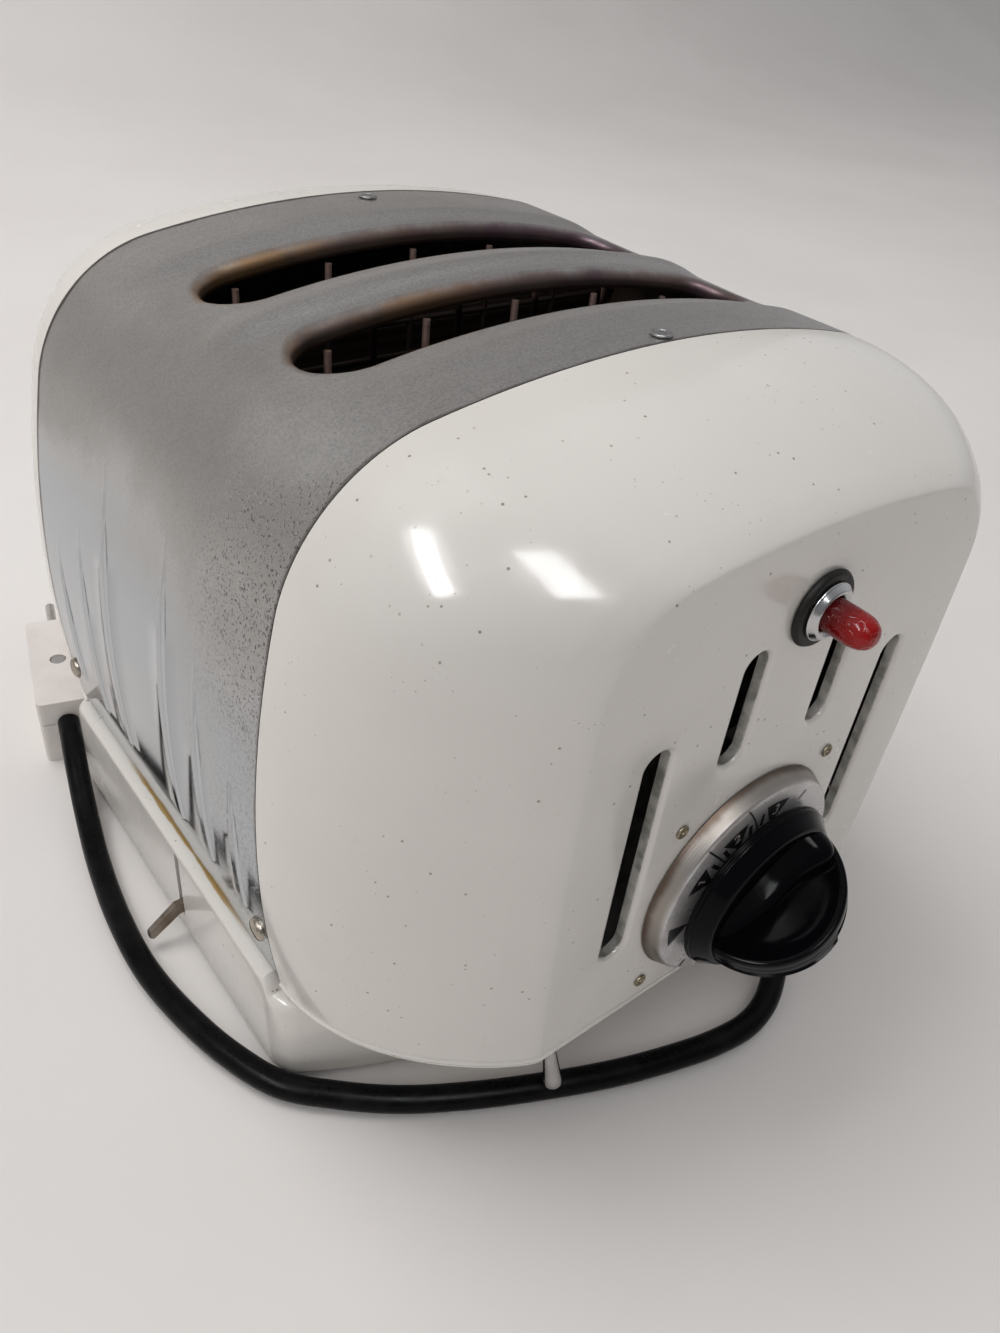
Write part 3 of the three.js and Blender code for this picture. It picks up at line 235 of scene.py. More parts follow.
def enamel(name, stain_and_foot_shade):
    look = Look(name, CREAM, IOR=1.55, Coat_Weight=0.25, Coat_Roughness=0.05)
    specks = look.cells(230).ramp(0.115, 0.05) * look.noise(60, 2).ramp(0.47, 0.58)
    dust = look.cells(520).ramp(0.11, 0.05) * look.noise(90, 2).ramp(0.54, 0.64)
    look.paint(look.noise(14, 4).ramp(0.3, 0.75), [c * 0.955 for c in CREAM])
    look.paint(look.noise(90, 5, 0.7).ramp(0.62, 0.8), (0.45, 0.4, 0.32), 0.12)
    look.paint(specks.calc("MAXIMUM", dust), (0.16, 0.1, 0.06), 0.75)
    if stain_and_foot_shade:
        height = look.axis("Z")
        ledge = look.across().calc("ABSOLUTE") + look.noise(60, 4) * 0.0022
        middle = (look.axis("Y") - 0.014).calc("ABSOLUTE")
        rust = ledge.ramp(0.1206, 0.1199) * height.ramp(0.038, 0.0405) * middle.ramp(0.052, 0.028)
        look.paint(rust, (0.42, 0.25, 0.05), 0.9)
        # Painted shade: the skirt darkens towards its foot, where it meets the floor
        look.paint((height + look.noise(130, 4) * 0.008).ramp(0.014, 0.004), (0.42, 0.37, 0.3), 0.35)
    else:
        for line in ENAMEL_MARKS:
            look.paint(look.near(*line), (0.08, 0.1, 0.28), 0.8)
        # Inside the vents the walls turn grey: bare metal, with painted shade for the vent's depth
        bare_and_shaded_wall = look.attribute("inner") + look.noise(260, 4, 0.7) * 0.5 - 0.25
        bare_and_shaded_tone = look.mix(look.noise(180, 4).ramp(0.35, 0.7), (0.6, 0.58, 0.54), (0.28, 0.27, 0.24))
        look.paint(bare_and_shaded_wall.ramp(0.35, 0.55), bare_and_shaded_tone)
    peel = look.bump(look.noise(240, 2), 0.00012, 0.35)
    relief = look.bump(look.noise(26, 2), 0.0009, 0.22, peel)
    look.done(look.noise(55, 5, 0.7).ramp(0.35, 0.8, 0.13, 0.3), relief)


def worn_chrome():
    look = Look("worn_chrome", (0.45, 0.48, 0.51), Metallic=1.0)
    x, y, height = look.axis("X"), look.axis("Y"), look.axis("Z")
    cloud = look.noise(16, 5, 0.6)
    level = height + cloud * 0.07 - 0.035
    dull = level.ramp(0.135, 0.188)
    shoulder = level.ramp(0.118, 0.182) * level.ramp(0.214, 0.195)
    seam = (y + look.noise(30, 3) * 0.03).ramp(0.012, -0.035)
    pits = look.noise(1050, 3, 0.7).ramp(0.55, 0.62) * ((shoulder + 0.15) * (seam + 0.05))
    brushed = look.noise(260, 4, 0.7, stretch=(0.06, 1, 1))
    look.paint(dull, (0.6, 0.585, 0.57))
    look.paint(cloud.ramp(0.35, 0.7), (0.44, 0.43, 0.415), 0.4)
    look.paint(brushed.ramp(0.35, 0.8) * dull, (0.3, 0.29, 0.28), 0.22)
    grain = look.noise(1300, 3, 0.7).ramp(0.42, 0.62)
    look.paint(grain * (dull * 0.25 + 0.06), (0.22, 0.21, 0.2))
    look.paint(look.noise(2000, 3, 0.8).ramp(0.58, 0.72) * dull, (0.12, 0.105, 0.095), 0.35)
    look.paint(pits, (0.05, 0.042, 0.038), 0.9)
    # Painted highlight on one flank of each flute and painted shade on the other
    flute_flank_light = look.attribute("flute_flank_light")
    look.paint(flute_flank_light.ramp(0.25, 0.9, 0, 0.4), (0.16, 0.18, 0.2))
    look.paint(flute_flank_light.ramp(-0.25, -0.9, 0, 0.3), (0.86, 0.88, 0.9))
    # The shoulder band, where the pits gather, is also painted darker as a painted dark reflection
    look.paint(shoulder, (0.34, 0.325, 0.31), 0.45)
    # Heat colours round the slots run from brown at the left to purple at the right
    heat_tint_and_shade = look.attribute("heat_tint_and_shade")
    heat = look.mix(x.ramp(-0.07, 0.03), (0.4, 0.25, 0.13), (0.15, 0.1, 0.115))
    heat = look.mix(look.noise(40, 3).ramp(0.4, 0.65), heat, (0.2, 0.15, 0.13))
    mottle = heat_tint_and_shade + look.noise(70, 4, 0.65) * 0.3 - 0.2
    look.paint(mottle.ramp(0.62, 0.95), heat)
    # Painted shade: the slot walls go nearly black deeper into the slot
    look.paint(heat_tint_and_shade.ramp(1.2, 1.8, 0, 0.85), (0.035, 0.02, 0.015))
    for line in CHROME_DRIPS:
        look.paint(look.near(*line), (0.2, 0.05, 0.015), 0.95)
    rear, front = (float(in_frame([0, edge, 0])[1]) for edge in (75.6, -76.4))
    wander = y + look.noise(90, 3) * 0.002 - 0.001
    seam_line = wander.ramp(rear, rear + 0.0012).calc("MAXIMUM", wander.ramp(front, front - 0.001) * 0.7)
    look.paint(seam_line, (0.045, 0.03, 0.02), 0.85)
    relief = look.bump(pits * -1.0, 0.0002, 0.6, look.bump(brushed * dull, 0.00016, 0.35))
    look.done(dull.ramp(0, 1, 0.09, 0.4) + pits * 0.35 + cloud.ramp(0.4, 0.75, 0, 0.1), relief)


def bright_metal(name, tone, rough, spots=0.25):
    look = Look(name, tone, Metallic=1.0)
    cloud, dirt = look.noise(120, 4, 0.6), look.noise(420, 4, 0.7).ramp(0.55, 0.75)
    look.paint(cloud.ramp(0.35, 0.7), [c * 0.82 for c in tone])
    look.paint(dirt, (0.12, 0.085, 0.06), spots)
    relief = look.bump(look.noise(900, 3), 0.0001, 0.1)
    look.done(cloud.ramp(0.3, 0.8, rough, rough + 0.14) + dirt * 0.2, relief)


def dark_steel(name, tone, rust, rough=0.5, depth_shade=False):
    look = Look(name, tone, Metallic=0.85)
    cloud = look.noise(60, 5, 0.65)
    look.paint(cloud.ramp(0.35, 0.7), rust)
    look.paint(look.noise(300, 5, 0.7).ramp(0.5, 0.72), [c * 0.4 for c in rust], 0.6)
    if depth_shade:
        # Painted shade: the wires go nearly black below the top centimetre under the roof
        across = look.across()
        level = look.axis("Z") + across * across * (0.5 / (BODY.crown * MM))
        look.paint(level.ramp(0.202, 0.198, 0, 0.95), (0.012, 0.008, 0.006))
    look.done(cloud.ramp(0.3, 0.8, rough, rough + 0.25), look.bump(look.noise(700, 4, 0.7), 0.0002, 0.4))


def soft_black(name, tone, rough, dust=0.2, scale=160, shine=0.5):
    look = Look(name, tone, Specular_IOR_Level=shine)
    cloud = look.noise(scale, 4, 0.65)
    look.paint(cloud.ramp(0.45, 0.8), (0.24, 0.22, 0.2), dust)
    look.done(cloud.ramp(0.3, 0.75, rough, rough + 0.18), look.bump(look.noise(scale * 8, 3), 0.00015, 0.35))


def bakelite():
    look = Look("black_bakelite", (0.003, 0.003, 0.004), IOR=1.5, Specular_IOR_Level=0.08)
    look.paint(look.noise(500, 4, 0.75).ramp(0.62, 0.78), (0.1, 0.095, 0.09), 0.04)
    look.done(look.noise(70, 4, 0.7).ramp(0.35, 0.75, 0.07, 0.2), look.bump(look.noise(45, 2), 0.0004, 0.25))


def polished_dial():
    look = Look("polished_dial", (0.63, 0.62, 0.615))
    x, z = look.across(), look.axis("Z") - DIAL_Z * MM
    radius = (x * x + z * z).calc("SQRT")
    rings = {"Vector": look.wire("CombineXYZ", 0, {0: radius}), "Scale": 900, "Distortion": 1.5, "Detail": 2}
    cloud = look.noise(70, 4, 0.6)
    look.paint(cloud.ramp(0.35, 0.7), (0.46, 0.43, 0.42))
    bevel = radius.ramp(0.0342, 0.0356)
    look.paint(bevel, (0.33, 0.3, 0.27))
    look.feed("Metallic", bevel.ramp(0, 1, 0.42, 1))
    # Painted shadow: a dark ring along the plate's outer edge
    look.paint((radius + cloud * 0.0012).ramp(0.0366, 0.0376), (0.1, 0.065, 0.045), 0.85)
    look.paint(look.noise(520, 4, 0.7).ramp(0.6, 0.75), (0.22, 0.17, 0.14), 0.35)
    relief = look.bump(look.wire("TexWave", "Fac", rings), 0.00003, 0.35)
    look.done(cloud.ramp(0.3, 0.75, 0.24, 0.36) + bevel * 0.12, relief)


def red_lens():
    look = Look("red_lens", (0.15, 0.001, 0.002), IOR=1.49, Transmission_Weight=0.35, Specular_IOR_Level=0.24,
                Coat_Weight=0.08, Coat_Roughness=0.03)
    craze = look.cells(420, "DISTANCE_TO_EDGE").ramp(0.06, 0.0)
    # The red is darker at the base, painted shade, and lighter towards the tip, painted light
    base, tip = (float(in_frame([0, y, 0])[1]) for y in (-146, -157))
    look.paint(look.axis("Y").ramp(base, tip), (0.44, 0.004, 0.005))
    look.paint(craze, (0.66, 0.12, 0.09), 0.16)
    relief = look.bump(craze + look.noise(260, 2), 0.0003, 0.35)
    look.done(look.noise(300, 3).ramp(0.4, 0.7, 0.06, 0.2), relief)


def white_plastic():
    look = Look("white_plastic", (0.78, 0.735, 0.7), IOR=1.5)
    cloud = look.noise(45, 4, 0.6)
    look.paint(cloud.ramp(0.35, 0.75), (0.7, 0.64, 0.6))
    look.paint(look.noise(320, 5, 0.75).ramp(0.6, 0.75), (0.35, 0.31, 0.28), 0.25)
    look.done(cloud.ramp(0.3, 0.8, 0.34, 0.5), look.bump(look.noise(600, 3), 0.00012, 0.3))


def mica():
    look = Look("mica", (0.03, 0.022, 0.016))
    flakes = look.noise(90, 5, 0.7, stretch=(1, 1, 0.35))
    look.paint(flakes.ramp(0.35, 0.7), (0.018, 0.012, 0.009))
    # Painted light: the mica is a little lighter towards the top of the slots
    look.paint(look.axis("Z").ramp(0.1, 0.19), (0.03, 0.02, 0.014), 0.4)
    look.done(flakes.ramp(0.3, 0.8, 0.35, 0.6), look.bump(flakes, 0.0003, 0.4))


def printed(name, tone):
    look = Look(name, tone)
    look.paint(look.noise(900, 3, 0.7).ramp(0.6, 0.75), (0.35, 0.32, 0.3), 0.35)
    look.done(look.noise(300, 3).ramp(0.3, 0.8, 0.4, 0.6))


enamel("cream_enamel", stain_and_foot_shade=False)
enamel("skirt_enamel", stain_and_foot_shade=True)
worn_chrome()
bright_metal("bright_chrome", (0.62, 0.62, 0.62), 0.1)
bright_metal("toggle_chrome", (0.48, 0.465, 0.455), 0.07)
bright_metal("pin_nickel", (0.68, 0.66, 0.62), 0.25)
bright_metal("rivet_metal", (0.42, 0.415, 0.41), 0.34, 0.4)
bright_metal("screw_metal", (0.45, 0.4, 0.34), 0.24, 0.6)
bright_metal("old_brass", (0.3, 0.26, 0.18), 0.32, 0.6)
dark_steel("plain_steel", (0.4, 0.385, 0.37), (0.24, 0.18, 0.13), 0.35)
dark_steel("lever_steel", (0.34, 0.3, 0.26), (0.2, 0.15, 0.11), 0.35)
dark_steel("heat_darkened_steel", (0.12, 0.1, 0.085), (0.1, 0.05, 0.03))
dark_steel("rusted_wire", (0.42, 0.3, 0.27), (0.28, 0.17, 0.13), 0.55, depth_shade=True)
dark_steel("ribbon", (0.07, 0.05, 0.04), (0.05, 0.03, 0.02), 0.4)
soft_black("ground_coat", (0.05, 0.048, 0.045), 0.5)
soft_black("seam_dirt", (0.02, 0.015, 0.012), 0.6)
soft_black("black_rubber", (0.012, 0.0105, 0.009), 0.42, 0.12, 160, 0.25)
soft_black("cord_jacket", (0.003, 0.003, 0.0035), 0.24, 0.03, 90, 0.1)
bakelite()
polished_dial()
red_lens()
white_plastic()
mica()
printed("print_black", (0.012, 0.012, 0.014))
printed("print_white", (0.72, 0.66, 0.6))


# Mesh helpers: a part is a list of points and a list of faces, and merge() puts parts together

def merge(*parts):
    points, faces = [], []
    for part_points, part_faces in parts:
        start = len(points)
        points.extend(map(tuple, part_points))
        faces.extend([start + i for i in face] for face in part_faces)
    return points, faces


def grid(rows, closed=False):
    rows = np.asarray(rows, float)
    m, n = rows.shape[:2]
    faces = []
    for i in range(m - 1):
        for j in range(n if closed else n - 1):
            k = (j + 1) % n
            faces.append([i * n + j, i * n + k, (i + 1) * n + k, (i + 1) * n + j])
    return rows.reshape(-1, 3), faces


def soften(profile, steps):
    """Rounds each corner of a profile whose point has a third number, its radius."""
    out = []
    for i, point in enumerate(profile):
        here = np.array(point[:2], float)
        if len(point) < 3 or i in (0, len(profile) - 1):
            out.append(here)
            continue
        before, after = (np.array(profile[i + k][:2], float) - here for k in (-1, 1))
        reach = min(point[2], 0.49 * np.hypot(*before), 0.49 * np.hypot(*after))
        start, end = (here + way / np.hypot(*way) * reach for way in (before, after))
        for t in np.linspace(0, 1, steps + 1):
            out.append((1 - t) ** 2 * start + 2 * t * (1 - t) * here + t ** 2 * end)
    return np.array(out)


def frame_axes(axis):
    axis = np.array(axis, float) / np.linalg.norm(axis)
    side = np.cross(axis, [0, 0, 1] if abs(axis[2]) < 0.9 else [0, 1, 0])
    side /= np.linalg.norm(side)
    return axis, side, np.cross(axis, side)


def lathe(profile, origin, axis, sides=48, steps=4):
    """Turns a profile of [radius, distance along the axis, corner radius] about an axis."""
    axis, u, v = frame_axes(axis)
    spokes = np.outer(np.cos(around(sides)), u) + np.outer(np.sin(around(sides)), v)
    points, rings, faces = [], [], []
    for radius, along in soften(profile, steps):
        centre = np.array(origin, float) + axis * along
        ring = [centre] if radius < 1e-6 else centre + radius * spokes
        rings.append(range(len(points), len(points) + len(ring)))
        points.extend(ring)
    for a, b in zip(rings[:-1], rings[1:]):
        for k in range(sides):
            m = (k + 1) % sides
            corners = [ring[i % len(ring)] for ring, i in ((a, k), (a, m), (b, m), (b, k))]
            faces.append(list(dict.fromkeys(corners)))
    return points, [face for face in faces if len(face) > 2]


def tube(path, radius, sides=10):
    """A round wire along a path."""
    path = np.asarray(path, float)
    rows = []
    tangents = np.gradient(path, axis=0)
    reference = frame_axes(tangents[0])[1]
    angles = around(sides)
    for point, tangent in zip(path, tangents):
        tangent = tangent / np.linalg.norm(tangent)
        reference = reference - tangent * (reference @ tangent)
        reference /= np.linalg.norm(reference)
        other = np.cross(tangent, reference)
        rows.append(point + radius * (np.outer(np.cos(angles), reference) + np.outer(np.sin(angles), other)))
    points, faces = grid(rows, closed=True)
    last = (len(rows) - 1) * sides
    return points, [*faces, list(range(sides))[::-1], list(range(last, last + sides))]


def fill(loops):
    """Triangles inside the first loop of (index, 2-D point) and outside the others, which are convex."""
    flat, edges, owner = [], [], []
    for number, loop in enumerate(loops):
        start, count = len(flat), len(loop)
        edges += [(start + k, start + (k + 1) % count) for k in range(count)]
        owner += [number] * count
        flat += loop
    made = delaunay_2d_cdt([Vector(p) for _, p in flat], edges, [], 1, 1e-6)
    kept = []
    for face in made[2]:
        corners = [made[3][i][0] for i in face]
        owners = {owner[i] for i in corners}
        if 0 in owners or len(owners) > 1:
            kept.append([flat[i][0] for i in corners])
    return kept


def mesh_of(name, part):
    points, faces = part
    mesh = bpy.data.meshes.new(name)
    mesh.from_pydata(in_frame(points).tolist(), [], [list(map(int, face)) for face in faces])
    return mesh


def piece(name, part, look, replaces=(), body="case", slot=None, thick=None, angle=38, marks=None, rim=None,
          lining=None):
    """Makes a named mesh object of a part and ties it to the frame. A thick one is a sheet."""
    mesh = mesh_of(name, part)
    for mark, values in (marks or {}).items():
        mesh.attributes.new(mark, "FLOAT", "POINT").data.foreach_set("value", np.array(values, np.float32))
    work = bmesh.new()
    work.from_mesh(mesh)
    bmesh.ops.recalc_face_normals(work, faces=work.faces)
    if thick:
        # A sheet's outside faces away from the middle of the foot
        centre = Vector(in_frame(FOOT_MIDDLE))
        facing = sum((f.calc_center_median() - centre).dot(f.normal) * f.calc_area() for f in work.faces)
        if facing < 0:
            bmesh.ops.reverse_faces(work, faces=work.faces)
    work.to_mesh(mesh)
    work.free()
    mesh.shade_smooth()
    mesh.set_sharp_from_angle(angle=radians(angle))
    mesh.materials.append(LOOKS[look])
    made = add(name, mesh)
    if thick:
        shell = made.modifiers.new("sheet", "SOLIDIFY")
        shell.thickness = thick * MM
        shell.offset = -1
        shell.use_even_offset = True
        if rim or lining:
            mesh.materials.append(LOOKS[rim or lining])
            shell.material_offset_rim = 1 if rim else 0
            shell.material_offset = 1 if lining else 0
        soften_edges(made, 0.2, 60)
    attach(made, body)
    slot or look in [m["slot"] for m in frame["record"]["materials"]]
    if replaces:
        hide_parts(*replaces)
    return made


def turned(name, node, look, profile, origin, axis, sides=48, steps=4, **more):
    return piece(name, lathe(profile, origin, axis, sides, steps), look, [node], **more)


def soften_edges(made, width, angle, segments=2):
    edge = made.modifiers.new("edge", "BEVEL")
    edge.width = width * MM
    edge.segments = segments
    edge.limit_method = "ANGLE"
    edge.angle_limit = radians(angle)
    edge.harden_normals = True


def dress(node, look, bevel=0.0, segments=2):
    """Gives a CAD node its material, and rounds its edges."""
    made = frame["nodes"][node]
    made.data.materials.clear()
    made.data.materials.append(LOOKS[look])
    if bevel:
        made.modifiers.new("weld", "WELD").merge_threshold = 1e-5
        soften_edges(made, bevel, 40, segments)


def carve(made, tool_part):
    """Cuts a part out of a piece."""
    tool = add("cutter", mesh_of("cutter", tool_part))
    cut = made.modifiers.new("carve", "BOOLEAN")
    cut.operation, cut.object, cut.solver = "DIFFERENCE", tool, "EXACT"
    result = bpy.data.meshes.new_from_object(made.evaluated_get(bpy.context.evaluated_depsgraph_get()))
    made.modifiers.remove(cut)
    made.data = result
    bpy.data.objects.remove(tool)


def block(low, high):
    points = [(x, y, z) for z in (low[2], high[2]) for y in (low[1], high[1]) for x in (low[0], high[0])]
    return points, [[0, 2, 3, 1], [4, 5, 7, 6], [0, 1, 5, 4], [2, 6, 7, 3], [0, 4, 6, 2], [1, 3, 7, 5]]


# The flex: the same route as the CAD solid, from the gland under the front to the plug at the left rear

CORD_ROUTE = [
    (50, -123.6, 16), (50, -129, 15.7), (48.2, -137, 13.4), (43, -145.2, 9.8), (35.4, -151, 7),
    (26.5, -155, 5.2), (16, -156.6, 4.4), (2, -155, 4.3), (-14, -150.8, 4.3), (-34, -144, 4.3),
    (-57, -133.9, 4.3), (-79, -122.8, 4.3), (-97, -111.8, 4.3), (-112, -99.6, 4.3), (-124.2, -87, 4.3),
    (-132, -70, 4.3), (-137.6, -49.7, 4.3), (-141.2, -25.5, 4.3), (-140.6, 1.3, 4.3), (-137, 29.9, 4.6),
    (-133.6, 48, 7), (-130.6, 62, 11.4), (-127.8, 74, 16.4), (-125.2, 84.6, 19.4), (-122.8, 94.2, 20),
]
CORD_RADIUS = 4.25


def smooth_route(points, steps):
    """A smooth line through the points, with that many steps from each to the next."""
    p = np.array(points, float)
    p = np.vstack([2 * p[0] - p[1], p, 2 * p[-1] - p[-2]])
    out = []
    for a, b, c, d in zip(p[:-3], p[1:-2], p[2:-1], p[3:]):
        ab, bc, cd = (sqrt(np.linalg.norm(q)) for q in (b - a, c - b, d - c))
        start = ((b - a) / ab - (c - a) / (ab + bc) + (c - b) / bc) * bc
        end = ((c - b) / bc - (d - b) / (bc + cd) + (d - c) / cd) * bc
        for t in np.arange(steps) / steps:
            s = ease(t)
            out.append((1 - s) * b + (t ** 3 - 2 * t ** 2 + t) * start + s * c + (t ** 3 - t ** 2) * end)
    return np.array([*out, p[-2]])


def make_cord():
    route = smooth_route(CORD_ROUTE, 10)
    data = bpy.data.curves.new("cord_flex", "CURVE")
    data.dimensions = "3D"
    data.bevel_depth = CORD_RADIUS * MM
    data.bevel_resolution = 6
    data.use_fill_caps = True
    line = data.splines.new("POLY")
    line.points.add(len(route) - 1)
    for point, place in zip(line.points, in_frame(route)):
        point.co = (*place, 1)
    data.materials.append(LOOKS["cord_jacket"])
    made = add("cord_flex", data)
    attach(made, "case")
    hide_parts("cord")


make_cord()


# The body's outline from the front: side arc, shoulder arc and crown arc, mirrored

SIDE_SHARES = np.concatenate([[0, 0.009, 0.018, 0.027, 0.045], np.linspace(0.08, 1, 18, endpoint=False)])
CORNER_SHARES = np.linspace(0, 1, 22, endpoint=False)
CROWN_SHARES = np.linspace(0, 1, 14, endpoint=False)


def centres(section):
    """The middles of the side arc, the shoulder arc and the crown arc of an outline."""
    side = np.array([section.half_wide - section.side, section.wide_height])
    crown = np.array([0, section.height - section.crown])
    from_side, from_crown = section.side - section.corner, section.crown - section.corner
    distance = np.hypot(*(crown - side))
    along = (from_side ** 2 - from_crown ** 2 + distance ** 2) / (2 * distance)
    across = sqrt(max(from_side ** 2 - along ** 2, 0))
    unit = (crown - side) / distance
    normal = np.array([-unit[1], unit[0]])
    return side, max((side + unit * along + normal * k for k in (across, -across)), key=sum), crown


def outline(section, foot):
    side, corner, crown = centres(section)
    first = atan2(*(corner - side)[::-1])
    second = atan2(*(corner - crown)[::-1])
    arcs = (
        (side, section.side, asin((foot - side[1]) / section.side), first, SIDE_SHARES),
        (corner, section.corner, first, second, CORNER_SHARES),
        (crown, section.crown, second, pi / 2, CROWN_SHARES),
    )
    half = []
    for centre, radius, start, end, shares in arcs:
        angles = start + (end - start) * shares
        half.append(centre + radius * np.stack([np.cos(angles), np.sin(angles)], 1))
    half = np.vstack(half)
    return np.vstack([half, [[0, section.height]], (half * [-1, 1])[::-1]])


def cap_rings(depth, before, after, side):
    """Rings of a dome from the seam to its flat end, between the body's outline and the facet's."""
    radius = 1.4 * depth
    full = radius - sqrt(radius ** 2 - depth ** 2)

    def drawn(d):
        return (radius - sqrt(radius ** 2 - d ** 2)) / full

    start = depth * before
    stations = [(start * sin(t), drawn(start * sin(t))) for t in np.linspace(0, pi / 2, 26)]
    for t in np.linspace(0, 1, 11)[1:]:
        a, b, c = (1 - t) ** 2, 2 * t * (1 - t), t ** 2
        stations.append((a * start + (b + c) * depth, a * drawn(start) + b + c * after))
    outer, inner = outline(BODY, CAP_FOOT), outline(FACET, CAP_FOOT)
    rings = []
    for d, stage in stations:
        flat = outer + (inner - outer) * stage
        rings.append(np.stack([flat[:, 0], np.full(len(flat), side * (SEAM + d)), flat[:, 1]], 1))
    return np.array(rings)


# Middle across, lower end and upper end of each vent
VENTS = [(-47.5, 70.4, 147.3), (47.5, 70.4, 147.3), (-18, 129, 165.7), (18, 129, 165.7)]
VENT_HALF, VENT_ROLL, VENT_SIDES = 4.7, 1.7, 40


def vent_rows(x, low, high, face_y, side):
    """Rings of a vent's lip, from the facet inwards."""
    middle, half = (low + high) / 2, (high - low) / 2
    profile = [(1 - sin(a), 1 - cos(a)) for a in np.linspace(0, pi / 2, 6)]
    profile = [(VENT_ROLL * offset, VENT_ROLL * depth) for offset, depth in profile] + [(0, 2.2), (0, 4)]
    across, up = np.cos(around(VENT_SIDES)), np.sin(around(VENT_SIDES))
    shift = np.where(up >= 0, half - VENT_HALF, VENT_HALF - half)
    shift[[0, VENT_SIDES // 2]] = 0
    rows = []
    for offset, depth in profile:
        reach = VENT_HALF + offset
        y = np.full(VENT_SIDES, face_y - side * depth)
        rows.append(np.stack([x + reach * across, y, middle + reach * up + shift], 1))
    return rows


def cap(rings, vents=()):
    """Dome rings and a flat end with lipped vents."""
    end = rings[-1]
    points, faces = grid(rings)
    start = len(points) - len(end)
    inner = [0] * len(points)
    points = list(points)
    loops = [[(start + i, (p[0], p[2])) for i, p in enumerate(end)]]
    for vent in vents:
        rows = vent_rows(*vent, end[0][1], np.sign(end[0][1]))
        first = len(points)
        ring_points, ring_faces = grid(rows, closed=True)
        points.extend(ring_points)
        faces.extend([first + i for i in face] for face in ring_faces)
        inner += np.repeat([0, 0, 0, 0, 0.4, 0.8, 1, 1], VENT_SIDES).tolist()
        loops.append([(first + i, (p[0], p[2])) for i, p in enumerate(rows[0])])
    faces.extend(fill(loops))
    return (points, faces), {"inner": inner}


def foot_bead(rings):
    """A thin bead along a cap's foot: one side, the flat end and the other side."""
    left, right = rings[:, 2], rings[::-1, -3]
    middle = [left[-1] + (right[0] - left[-1]) * t for t in (0.1, 0.3, 0.5, 0.7, 0.9)]
    return tube([*left, *middle, *right], 0.75, 8)


front_rings = cap_rings(FRONT_DEPTH, 0.9, 1.06, -1)
rear_rings = cap_rings(REAR_DEPTH, 0.72, 1.4, 1)
for name, rings, vents in (("front", front_rings, VENTS), ("rear", rear_rings, ())):
    part, marks = cap(rings, vents)
    piece(f"{name}_cap_shell", part, "cream_enamel", [f"{name}_cap"], thick=SHEET, marks=marks,
          lining="ground_coat")
piece("front_cap_bead", foot_bead(front_rings), "cream_enamel")
piece("rear_cap_bead", foot_bead(rear_rings), "cream_enamel")


# The chromed wrap: one even skin with fluted sides and two dished, lipped slots

SLOT_Y, SLOT_HALF, SLOT_RADIUS, SLOT_ROLL, SLOT_DROP = 27.4, 80, 13.5, 3.2, 2.0
SLOT_FIELD_X, SLOT_FIELD_Y = 96, 54.8
FLUTES = [(y * s, top) for y, top in ((21, 167), (42, 138), (63, 122.5)) for s in (-1, 1)]
FLUTE_HALF, FLUTE_RISE, FLUTE_FOOT, FLUTE_TAPER = 2.7, 0.8, 61.5, 34


def top_height(x):
    _, corner, crown = centres(BODY)
    x = abs(x)
    meet = corner[0] * BODY.crown / (BODY.crown - BODY.corner)
    if x < meet:
        return crown[1] + sqrt(BODY.crown ** 2 - x ** 2)
    return corner[1] + sqrt(BODY.corner ** 2 - (x - corner[0]) ** 2)


def flute_rise(y, z):
    """How far a flute stands out of the side, and where that point lies between its edge and its back."""
    for middle, top in FLUTES:
        taper = min(1, max(0, (top - z) / FLUTE_TAPER)) ** 0.8
        reach = min(taper, sqrt(min(1, max(0, (z - FLUTE_FOOT) / 3))))
        off = abs(y - middle) / (FLUTE_HALF * reach + 1e-6)
        if off < 1:
            t = min(1, (1 - off) / 0.36)
            return FLUTE_RISE * ease(t) * reach, copysign(4 * t * (1 - t), y - middle)
    return 0, 0


def wrap_stations():
    """Places along the wrap's outline, each with its normal and whether the flutes run there."""
    side, corner, _ = centres(BODY)
    first = atan2(*(corner - side)[::-1])
    top_side = side[1] + BODY.side * sin(first)
    steps = ((WRAP_FOOT, 58, 2.6), (58, 66, 0.75), (66.5, top_side - 1.2, 2.2))
    heights = np.concatenate([np.arange(*step) for step in steps])
    last = acos((SLOT_FIELD_X - corner[0]) / BODY.corner)
    turns = [(side, BODY.side, asin((z - side[1]) / BODY.side), True) for z in heights]
    turns += [(corner, BODY.corner, a, False) for a in np.linspace(first, last, 14, endpoint=False)]
    half = []
    for centre, radius, a, fluted in turns:
        normal = np.array([cos(a), sin(a)])
        half.append((*(centre + radius * normal), *normal, fluted))
    for x in [*np.linspace(SLOT_FIELD_X, 60, 15), *np.linspace(60, 0, 14)[1:]]:
        half.append((x, top_height(x), 0, 1, False))
    return half + [(-x, z, -nx, nz, fluted) for x, z, nx, nz, fluted in half[-2::-1]]


